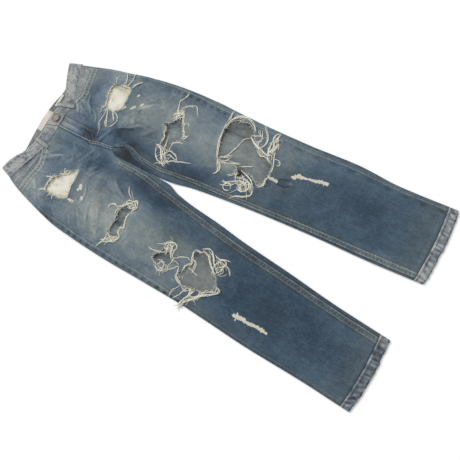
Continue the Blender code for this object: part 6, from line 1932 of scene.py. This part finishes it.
# Long loose yarns over and beside the rips: how many side by side, then x and down of each point
LOOSE = {
    "hip_right": [
        (3, -16.7, 12.0, -16.2, 12.7, -15.6, 13.6), (2, -17.2, 14.9, -16.4, 15.2, -15.6, 14.6),
        (3, -12.9, 11.9, -12.7, 12.8, -12.1, 13.7), (2, -17.4, 16.6, -16.4, 16.4, -15.8, 17.0),
        (3, -15.9, 13.5, -14.5, 13.2, -12.6, 13.4, -11.3, 14.6),
        (2, -10.6, 14.9, -10.2, 15.8, -9.4, 15.4), (2, -10.4, 15.4, -9.6, 16.8, -8.7, 16.6),
        (2, -15.7, 18.6, -14.9, 19.8, -12.5, 19.3, -10.0, 19.1, -7.5, 18.8),
        (1, -13.4, 13.6, -13.9, 14.6, -13.0, 15.3), (1, -11.0, 15.2, -12.0, 16.0, -11.2, 17.0),
    ],
    "hip_left": [
        (1, 2.2, 18.0, 3.8, 17.9, 4.9, 17.0, 6.2, 16.5, 8.0, 16.5, 9.9, 16.6),
        (1, 4.2, 17.5, 5.4, 16.6, 7.2, 16.6, 9.4, 16.4), (3, 5.0, 19.0, 6.6, 18.1, 8.2, 17.4, 9.9, 16.5),
        (1, 5.4, 19.0, 6.6, 17.5, 7.0, 18.6),
        (2, 5.6, 19.4, 6.4, 20.2, 7.4, 20.6, 8.9, 20.3, 9.7, 19.0, 9.9, 17.2),
        (2, 7.6, 19.9, 8.6, 19.1, 9.9, 18.0), (2, 8.2, 15.5, 9.2, 15.0, 10.4, 15.4, 11.4, 15.0),
        (2, 17.0, 16.6, 18.7, 17.0, 20.9, 15.8), (3, 17.3, 18.0, 19.4, 18.4, 21.5, 18.3),
        (4, 17.2, 19.4, 18.4, 19.9, 19.4, 20.7, 19.9, 21.4), (2, 16.8, 15.0, 18.2, 14.4, 19.0, 14.9),
        (2, 10.2, 15.4, 12.1, 15.0, 14.5, 14.3, 16.6, 14.6), (2, 17.2, 16.4, 17.3, 18.4, 16.9, 19.6),
        (1, 12.6, 15.0, 13.0, 15.9, 12.2, 16.6), (2, 10.1, 19.2, 11.6, 20.0, 14.0, 19.7),
    ],
    "thigh_right": [
        (3, -21.8, 33.5, -20.4, 34.0, -19.3, 34.3, -17.8, 34.1),
        (4, -20.2, 34.2, -19.6, 35.7, -18.7, 36.9, -17.2, 37.3, -16.4, 36.4, -15.3, 36.3),
        (3, -19.6, 34.3, -18.6, 35.9, -17.7, 36.9), (2, -17.7, 34.1, -18.2, 35.4, -17.6, 36.6),
        (2, -20.0, 33.3, -19.4, 34.6, -18.3, 35.6),
        (3, -15.3, 36.3, -14.9, 37.3, -13.7, 36.8, -12.1, 36.4, -10.8, 36.6),
        (3, -10.6, 36.7, -9.8, 37.2, -8.8, 37.6, -7.7, 36.9, -8.2, 35.7),
        (4, -11.2, 33.0, -10.2, 34.2, -9.3, 35.0, -8.2, 35.9, -7.5, 36.9),
        (3, -10.6, 33.7, -9.5, 34.2, -8.9, 35.6, -9.2, 36.8), (2, -9.6, 34.6, -8.4, 34.6, -8.0, 36.2),
        (3, -12.4, 31.0, -11.6, 30.9, -10.9, 31.9, -11.3, 33.1),
        (2, -12.8, 33.4, -11.8, 33.2, -11.0, 33.9), (2, -8.1, 35.5, -7.1, 34.4, -6.4, 33.6, -5.3, 32.8),
        (1, -8.0, 35.8, -7.0, 35.0, -5.9, 33.9), (2, -9.4, 35.0, -10.0, 36.2, -8.9, 36.9, -8.0, 36.2),
    ],
    "knee_right": [
        (2, -16.0, 45.1, -16.1, 46.6, -15.8, 48.2, -15.2, 49.3, -13.9, 49.4),
        (3, -14.2, 46.9, -13.6, 48.2, -12.7, 49.2, -12.3, 50.4, -12.9, 51.5, -14.3, 51.2),
        (3, -12.9, 49.3, -14.3, 49.7, -15.7, 50.0), (3, -12.6, 50.4, -14.4, 50.7, -16.2, 51.8),
        (2, -13.2, 48.6, -14.4, 49.0, -13.4, 50.4, -12.9, 49.4),
        (2, -13.8, 51.2, -15.0, 51.6, -15.7, 52.2),
        (3, -18.2, 48.6, -19.0, 49.1, -19.5, 50.0, -19.1, 51.0, -18.3, 51.9, -17.6, 51.4),
        (2, -17.6, 49.0, -17.5, 50.2, -18.2, 51.0, -19.1, 50.6, -18.7, 49.6),
        (2, -18.5, 51.9, -17.7, 53.0, -16.4, 54.2), (2, -17.6, 51.8, -16.4, 52.1, -15.2, 52.1),
        (1, -16.3, 54.2, -15.9, 53.2, -15.7, 52.1),
        (2, -15.6, 52.1, -14.6, 53.4, -13.9, 55.0, -14.2, 56.2),
        (4, -20.0, 57.0, -19.8, 55.8, -19.0, 54.9, -17.6, 54.6, -16.6, 54.4),
        (2, -17.6, 55.5, -16.3, 55.4, -15.2, 55.8, -14.7, 56.6, -13.9, 56.3, -13.5, 56.0),
        (3, -16.4, 57.6, -15.0, 57.6, -13.8, 57.3, -13.4, 56.3, -12.2, 55.7, -11.3, 55.8),
        (2, -15.6, 56.2, -15.7, 57.3, -16.3, 59.3), (2, -11.3, 55.8, -11.1, 56.8, -11.3, 57.4),
        (2, -23.7, 55.7, -21.8, 55.8, -20.3, 56.8),
        (2, -23.7, 56.6, -22.4, 57.6, -20.7, 58.2, -19.7, 58.6),
        (4, -24.6, 58.4, -23.2, 58.9, -21.2, 59.7, -19.5, 60.5),
        (4, -24.5, 58.9, -22.9, 59.6, -21.6, 61.0, -20.0, 62.0, -19.0, 62.9),
        (4, -22.6, 59.7, -21.1, 61.4, -19.7, 62.7, -18.6, 64.3, -17.8, 65.3, -17.1, 65.6,
         -16.6, 65.3, -16.5, 64.7),
        (2, -21.8, 59.6, -20.6, 59.5, -19.4, 59.2), (2, -21.0, 60.8, -20.2, 61.6, -19.1, 61.7),
        (2, -20.6, 61.6, -19.6, 61.9, -18.8, 62.8), (2, -18.6, 63.3, -17.6, 64.6, -16.4, 64.2),
        (2, -25.0, 58.6, -23.8, 59.3, -22.6, 59.2), (2, -19.9, 57.0, -20.6, 58.4, -19.8, 59.8),
        (3, -10.5, 57.2, -9.9, 58.0, -9.6, 58.8, -9.9, 59.6, -10.8, 60.4, -12.2, 61.4, -13.8, 63.1),
        (3, -10.5, 57.6, -11.2, 59.4, -12.6, 60.7, -14.4, 62.9),
        (2, -9.9, 58.4, -10.8, 60.2, -12.0, 60.9),
        (2, -13.6, 61.8, -12.2, 61.6, -11.0, 62.4, -11.6, 63.6, -13.0, 63.4, -13.9, 62.6),
        (2, -10.1, 60.4, -10.5, 61.8, -10.0, 63.4, -9.9, 64.6),
        (2, -12.6, 62.2, -11.2, 63.8, -10.4, 63.2, -10.9, 61.8),
        (2, -11.0, 63.2, -11.6, 65.1, -12.9, 66.1), (1, -14.3, 63.0, -13.0, 64.1, -11.9, 63.6),
    ],
    "thigh_left": [
        (3, 3.5, 37.3, 5.1, 35.9, 6.6, 34.8, 7.2, 33.2), (3, 3.5, 37.1, 5.4, 36.4, 7.5, 35.8, 10.8, 35.0),
        (2, 3.6, 37.1, 3.9, 35.5, 5.0, 34.4, 6.8, 33.6), (1, 4.2, 35.0, 5.0, 35.3, 5.9, 35.8),
        (2, 2.7, 35.4, 3.4, 36.9, 4.2, 38.4), (1, 2.7, 38.1, 3.8, 37.4, 5.0, 37.0),
        (2, 3.9, 38.8, 4.9, 37.4, 6.8, 35.8), (3, 3.9, 37.3, 5.0, 39.2, 5.7, 40.9, 6.8, 43.9),
        (3, 6.0, 36.5, 7.2, 37.2, 6.9, 39.2, 5.7, 40.4), (2, 5.4, 36.8, 6.2, 37.8, 5.8, 39.2, 5.5, 40.2),
        (3, 7.0, 34.2, 6.6, 35.2, 5.6, 36.4, 7.0, 36.8), (2, 7.1, 33.1, 7.4, 34.2, 6.8, 35.8),
        (2, 7.2, 37.0, 9.2, 36.9, 9.8, 37.4, 10.1, 38.5, 10.4, 39.4),
        (1, 11.1, 38.3, 11.8, 39.1, 13.1, 39.7),
        (3, 11.9, 38.5, 12.9, 38.2, 13.7, 37.3, 14.9, 37.0, 15.7, 36.1, 16.9, 35.8, 17.8, 35.0),
        (2, 12.0, 37.9, 12.3, 39.4, 11.2, 38.8), (2, 15.1, 37.2, 15.3, 38.0, 14.9, 38.7),
        (2, 7.3, 34.0, 9.7, 34.1, 10.8, 33.4, 12.2, 33.3), (3, 14.4, 34.1, 15.6, 34.7, 16.6, 35.9),
        (3, 15.0, 33.7, 16.6, 34.8, 18.3, 35.4), (3, 18.0, 33.4, 16.6, 34.3, 15.6, 35.4),
        (3, 15.2, 33.5, 16.2, 33.4, 17.2, 34.6, 16.6, 35.6), (2, 17.2, 33.2, 17.8, 34.4, 17.0, 35.6),
        (2, 14.8, 34.8, 15.8, 34.2, 17.4, 34.8),
        (3, 16.7, 33.4, 17.9, 33.4, 19.7, 32.9, 20.7, 33.5, 21.9, 34.0, 22.9, 33.9),
        (2, 18.0, 34.2, 19.4, 35.1, 20.4, 36.9, 19.9, 37.9, 18.2, 38.9),
        (2, 18.4, 34.0, 19.6, 35.6, 20.0, 36.9),
    ],
    "knee_left": [
        (3, 7.1, 50.0, 8.1, 50.7, 9.7, 49.8, 11.0, 49.0), (2, 7.3, 50.3, 8.6, 50.9, 10.4, 49.8),
        (4, 10.9, 48.9, 12.2, 48.2, 13.9, 47.6, 15.3, 47.1, 16.7, 46.9, 17.8, 46.7),
        (2, 17.9, 46.6, 20.6, 46.6, 23.5, 46.6), (1, 20.8, 47.1, 22.4, 46.9, 23.6, 46.9),
        (5, 17.9, 46.6, 19.4, 46.9, 21.1, 47.3, 22.3, 48.4, 22.9, 49.8, 23.0, 51.0, 22.7, 52.2),
        (4, 20.6, 47.2, 21.8, 47.8, 22.7, 49.0, 23.2, 50.4, 23.3, 51.8),
        (2, 23.1, 51.0, 22.7, 52.2, 21.9, 53.3, 20.6, 54.3),
        (2, 11.1, 49.3, 12.8, 50.9, 14.4, 51.5, 16.7, 52.1, 18.0, 52.6, 18.9, 53.7),
        (3, 11.0, 49.2, 11.9, 50.7, 12.8, 52.2), (4, 10.2, 50.1, 11.1, 52.0, 11.5, 53.4, 11.9, 54.9),
        (2, 11.2, 54.8, 12.2, 56.5, 13.0, 57.9), (2, 10.6, 49.4, 11.0, 50.6, 12.4, 51.9),
        (3, 5.0, 55.6, 4.6, 54.6, 5.3, 53.8, 6.3, 54.2, 6.4, 55.3, 5.4, 55.7),
        (2, 5.3, 52.8, 5.5, 53.8, 6.4, 55.2, 7.4, 56.2), (2, 6.5, 52.8, 6.3, 53.8, 7.6, 55.6),
        (2, 8.0, 53.4, 8.8, 54.6, 9.8, 55.6), (2, 10.6, 54.6, 9.0, 55.2, 7.2, 56.0, 7.0, 57.6),
        (3, 3.6, 56.5, 4.6, 57.9, 5.4, 59.6, 6.5, 60.7, 8.4, 60.0),
        (3, 10.7, 55.7, 10.3, 57.3, 9.2, 59.4, 7.5, 60.4),
        (3, 7.0, 55.2, 8.2, 56.6, 8.0, 58.4, 6.6, 59.4), (3, 6.4, 56.8, 6.0, 58.4, 7.2, 59.6, 8.8, 58.8),
        (3, 8.6, 55.6, 9.2, 57.4, 8.6, 59.4, 6.8, 60.0), (3, 5.6, 58.6, 6.8, 57.8, 8.0, 58.2, 8.6, 59.8),
        (2, 9.8, 56.4, 8.6, 57.6, 7.0, 57.2, 6.2, 58.8),
        (4, 8.6, 61.2, 9.6, 62.2, 11.1, 62.1, 11.9, 62.5),
        (2, 12.1, 62.5, 14.4, 62.2, 16.7, 61.2, 18.6, 60.6),
        (2, 16.6, 61.4, 16.8, 62.8, 15.9, 63.4, 15.3, 62.9),
        (4, 19.3, 53.6, 18.1, 55.3, 17.5, 56.5, 17.8, 57.2, 19.4, 57.9, 21.1, 57.2, 23.2, 55.4),
        (3, 19.2, 53.8, 17.8, 55.6, 17.4, 57.0, 16.9, 58.0), (2, 19.6, 53.6, 20.0, 54.8, 20.6, 56.0),
        (2, 20.0, 56.2, 20.9, 55.4, 21.8, 54.9), (2, 18.0, 55.6, 19.6, 56.4, 21.6, 55.6),
        (3, 17.0, 57.8, 16.6, 59.3, 17.2, 60.7),
        (4, 16.8, 59.7, 17.9, 59.2, 20.4, 59.0, 22.2, 59.1, 22.8, 60.0),
        (4, 22.6, 60.0, 21.4, 59.8, 19.4, 60.6, 17.2, 59.9),
        (4, 17.0, 59.4, 18.8, 60.0, 20.8, 59.5, 21.8, 60.2),
        (3, 17.2, 60.6, 18.6, 60.0, 20.2, 60.6, 19.0, 61.2),
        (3, 15.7, 60.9, 16.2, 59.6, 16.0, 58.0, 17.0, 56.6),
        (2, 16.0, 61.2, 17.0, 60.4, 16.8, 58.8, 17.6, 57.6),
        (2, 19.0, 56.0, 17.6, 56.4, 16.6, 57.6, 15.8, 59.8),
        (2, 15.2, 61.6, 16.0, 60.2, 17.4, 59.6, 18.8, 58.8),
    ],
}
# Tangles of shorter yarns: area, x, down, spread, how many, their heading in degrees and their length
TANGLES = {
    "thigh_right": [(-9.4, 35.2, 1.1, 9, 60, 1.8), (-18.9, 35.4, 1.0, 6, -100, 1.8)],
    "knee_right": [
        (-20.8, 60.6, 1.5, 14, -60, 2.6), (-24.2, 58.8, 0.7, 14, -80, 1.3),
        (-12.2, 62.4, 1.5, 12, 40, 2.4), (-13.4, 50.0, 0.9, 12, 70, 2.0), (-18.7, 50.2, 0.7, 5, -60, 2.0),
        (-18.8, 55.2, 1.0, 6, -60, 1.6),
    ],
    "thigh_left": [(5.2, 36.6, 1.2, 8, -80, 2.4), (16.6, 34.6, 1.1, 9, 70, 2.0)],
    "knee_left": [
        (7.6, 57.6, 1.5, 16, -60, 3.0), (19.4, 59.8, 1.6, 14, 80, 2.2), (18.4, 56.0, 1.2, 8, 80, 2.2),
        (22.4, 49.6, 0.9, 9, 20, 1.8), (10.2, 62.0, 1.0, 7, 0, 1.2),
    ],
    "hip_right": [(-12.4, 13.6, 1.6, 10, 0, 0.9), (-9.8, 16.0, 0.6, 8, 90, 1.0)],
    "hip_left": [
        (9.9, 16.2, 0.5, 8, -90, 1.4), (13.6, 14.6, 1.6, 8, 0, 0.9), (17.2, 17.0, 0.8, 8, 90, 1.2),
    ],
}


def loose_threads(area, seed):
    """Long yarns and tangles of short ones over one area's rips."""
    rng = np.random.RandomState(seed)
    lines, lifts, radii = [], [], []
    for strands, *line in LOOSE[area]:
        for strand in range(strands):
            shift = rng.normal(0.0, 0.13, 2) * (strand > 0)
            lines.append([(x + shift[0] + rng.normal(0.0, 0.05), down + shift[1] + rng.normal(0.0, 0.05))
                          for x, down in zip(line[::2], line[1::2])])
            radii.append(rng.uniform(0.5, 0.82) * MM)
            lifts.append(radii[-1] + 0.35 * MM * strand)
    for x, down, spread, count, heading, length in TANGLES[area]:
        for _ in range(count):
            start = (x + rng.normal(0.0, 0.5 * spread), down + rng.normal(0.0, 0.5 * spread))
            turned = math.radians(heading + rng.normal(0.0, 55.0))
            lines.append(wandering(*start, turned, length * rng.uniform(0.4, 1.3), rng)[::2])
            radii.append(rng.uniform(0.3, 0.6) * MM)
            lifts.append(radii[-1] + rng.uniform(0.0, 0.8) * MM)
    nodes = [] if area.startswith("hip") else ["fray_" + area + end for end in ("_outer", "_inner")]
    verts, faces = tubes(laid_lines(lines, lifts, rng), radii, 4)
    return thread_mesh("loose_threads_" + area, verts, faces, frayed, nodes)


# ---------------------------------------------------------------- button

def shank_button():
    """A tack button with a rolled rim and a worn dome in its middle."""
    low, high = (np.array(corner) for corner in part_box("waist_button"))
    centre, radius, height = 0.5 * (low + high), 0.5 * (high[0] - low[0]), high[2] - low[2]
    bpy.ops.object.select_all(action="DESELECT")
    bpy.ops.mesh.primitive_cylinder_add(vertices=56, radius=0.98 * radius, depth=height, location=centre)
    piece = bpy.context.object
    piece.name = "tack_button"
    bpy.ops.object.mode_set(mode="EDIT")
    bpy.ops.mesh.select_mode(type="FACE")
    bpy.ops.mesh.select_all(action="DESELECT")
    bpy.ops.object.mode_set(mode="OBJECT")
    for face in piece.data.polygons:
        face.select = face.normal.z > 0.9
    bpy.ops.object.mode_set(mode="EDIT")
    for inset, drop in ((0.14, 0.0), (0.06, -0.04), (0.34, 0.02)):
        bpy.ops.mesh.inset(thickness=inset * radius)
        bpy.ops.transform.translate(value=(0.0, 0.0, drop * height))
    bpy.ops.object.mode_set(mode="OBJECT")
    bevel = piece.modifiers.new("rolled_rim", "BEVEL")
    bevel.width, bevel.segments = 0.35 * MM, 3
    bevel.limit_method, bevel.angle_limit = "ANGLE", math.radians(35.0)
    bpy.ops.object.modifier_apply(modifier="rolled_rim")
    bpy.ops.object.shade_smooth_by_angle(angle=math.radians(50.0))
    bpy.ops.object.transform_apply(location=True, rotation=True, scale=True)
    piece.data.materials.clear()
    piece.data.materials.append(copper)
    return shown(piece, "button", "waist_button")


def buttonhole():
    """The worn stitches of the buttonhole's eye round the button."""
    x0, d0 = BUTTON_PLACE
    lines = []
    for angle in np.arange(0.0, 360.0, 9.0):
        u, w = math.cos(math.radians(angle)), math.sin(math.radians(angle))
        reach = 1.0 + 0.75 * bell(np.array((angle + 180.0) % 360.0 - 180.0), 26.0)
        lines.append([(x0 + u * reach * 0.95, d0 + w * 0.92),
                      (x0 + u * (reach * 0.95 + 0.28), d0 + w * 1.2)])
    return stitched("buttonhole_stitches", [(band_surface, lines)], rust_sewing, 0.3, 0.3, 13)


# ---------------------------------------------------------------- the whole garment

fronts = {side: front_panel(side) for side in LEGS}
backs = {side: back_panel(side) for side in LEGS}
yokes = {side: back_panel(side, yoke=True) for side in LEGS}
hems = {side: hem(side) for side in LEGS}
band = waistband()
facings = {side: pocket_facing(side) for side in LEGS}
bags = {side: pocket_bag(side) for side in LEGS}
seat_pockets = {side: back_pocket(side) for side in LEGS}
coin = coin_pocket()
straps = belt_loops()
woven_labels = labels()
button = shank_button()
eye = buttonhole()
sewn = sew()
rng = np.random.RandomState(77)
fringes = {side: fringe(side, rng) for side in LEGS}
threads = {area: loose_threads(area, 90 + i) for i, area in enumerate(LOOSE)}

# ---------------------------------------------------------------- the threads and stitches on each leg


for side in LEGS:
    on_leg = [fringes[side], threads["thigh_" + side], threads["knee_" + side], threads["hip_" + side]]
    on_leg += sewn[side]

# ---------------------------------------------------------------- floor, light and camera

AZIMUTH, ELEVATION, ROLL = -0.4785, 1.2821, -0.5952
CAMERA_PLACE = (-0.1882, -0.4037, 1.2062)
LENS = 42.06
SENSOR = 36.0
SKY_STRENGTH = 0.62
SUN_STRENGTH = 2.3
SUN_WIDTH = 44.0
SUN_DIRECTION = (-0.25, -1.0, -1.05)


def camera_view():
    back = np.array([math.sin(AZIMUTH) * math.cos(ELEVATION), -math.cos(AZIMUTH) * math.cos(ELEVATION),
                     math.sin(ELEVATION)])
    right = np.cross((0.0, 0.0, 1.0), back)
    right /= np.linalg.norm(right)
    up = np.cross(back, right)
    turned_right = math.cos(ROLL) * right + math.sin(ROLL) * up
    turned_up = math.cos(ROLL) * up - math.sin(ROLL) * right
    camera = bpy.data.objects.new("camera", bpy.data.cameras.new("camera"))
    bpy.context.scene.collection.objects.link(camera)
    camera.matrix_world = Matrix([*zip(turned_right, turned_up, back, CAMERA_PLACE), (0.0, 0.0, 0.0, 1.0)])
    camera.data.lens, camera.data.sensor_width = LENS, SENSOR
    camera.data.clip_start, camera.data.clip_end = 0.05, 20.0
    bpy.context.scene.camera = camera


def floor():
    bpy.ops.object.select_all(action="DESELECT")
    bpy.ops.mesh.primitive_plane_add(size=14.0, location=(0.0, 0.0, -0.0002))
    ground = bpy.context.object
    ground.name = "floor"
    finish = bpy.data.materials.new("white_floor")
    finish.use_nodes = True
    shader = finish.node_tree.nodes["Principled BSDF"]
    shader.inputs["Base Color"].default_value = (0.92, 0.92, 0.92, 1.0)
    shader.inputs["Roughness"].default_value = 1.0
    shader.inputs["Specular IOR Level"].default_value = 0.0
    ground.data.materials.append(finish)


def studio():
    world = bpy.data.worlds.new("studio")
    bpy.context.scene.world = world
    world.use_nodes = True
    world.node_tree.nodes["Background"].inputs["Color"].default_value = (1.0, 1.0, 1.0, 1.0)
    world.node_tree.nodes["Background"].inputs["Strength"].default_value = SKY_STRENGTH
    light = bpy.data.lights.new("broad_light", "SUN")
    light.energy, light.angle = SUN_STRENGTH, math.radians(SUN_WIDTH)
    lamp = bpy.data.objects.new("broad_light", light)
    bpy.context.scene.collection.objects.link(lamp)
    lamp.rotation_euler = Vector(SUN_DIRECTION).to_track_quat("-Z", "Y").to_euler()
    bpy.context.scene.view_settings.view_transform = "Standard"


camera_view()
studio()
floor()
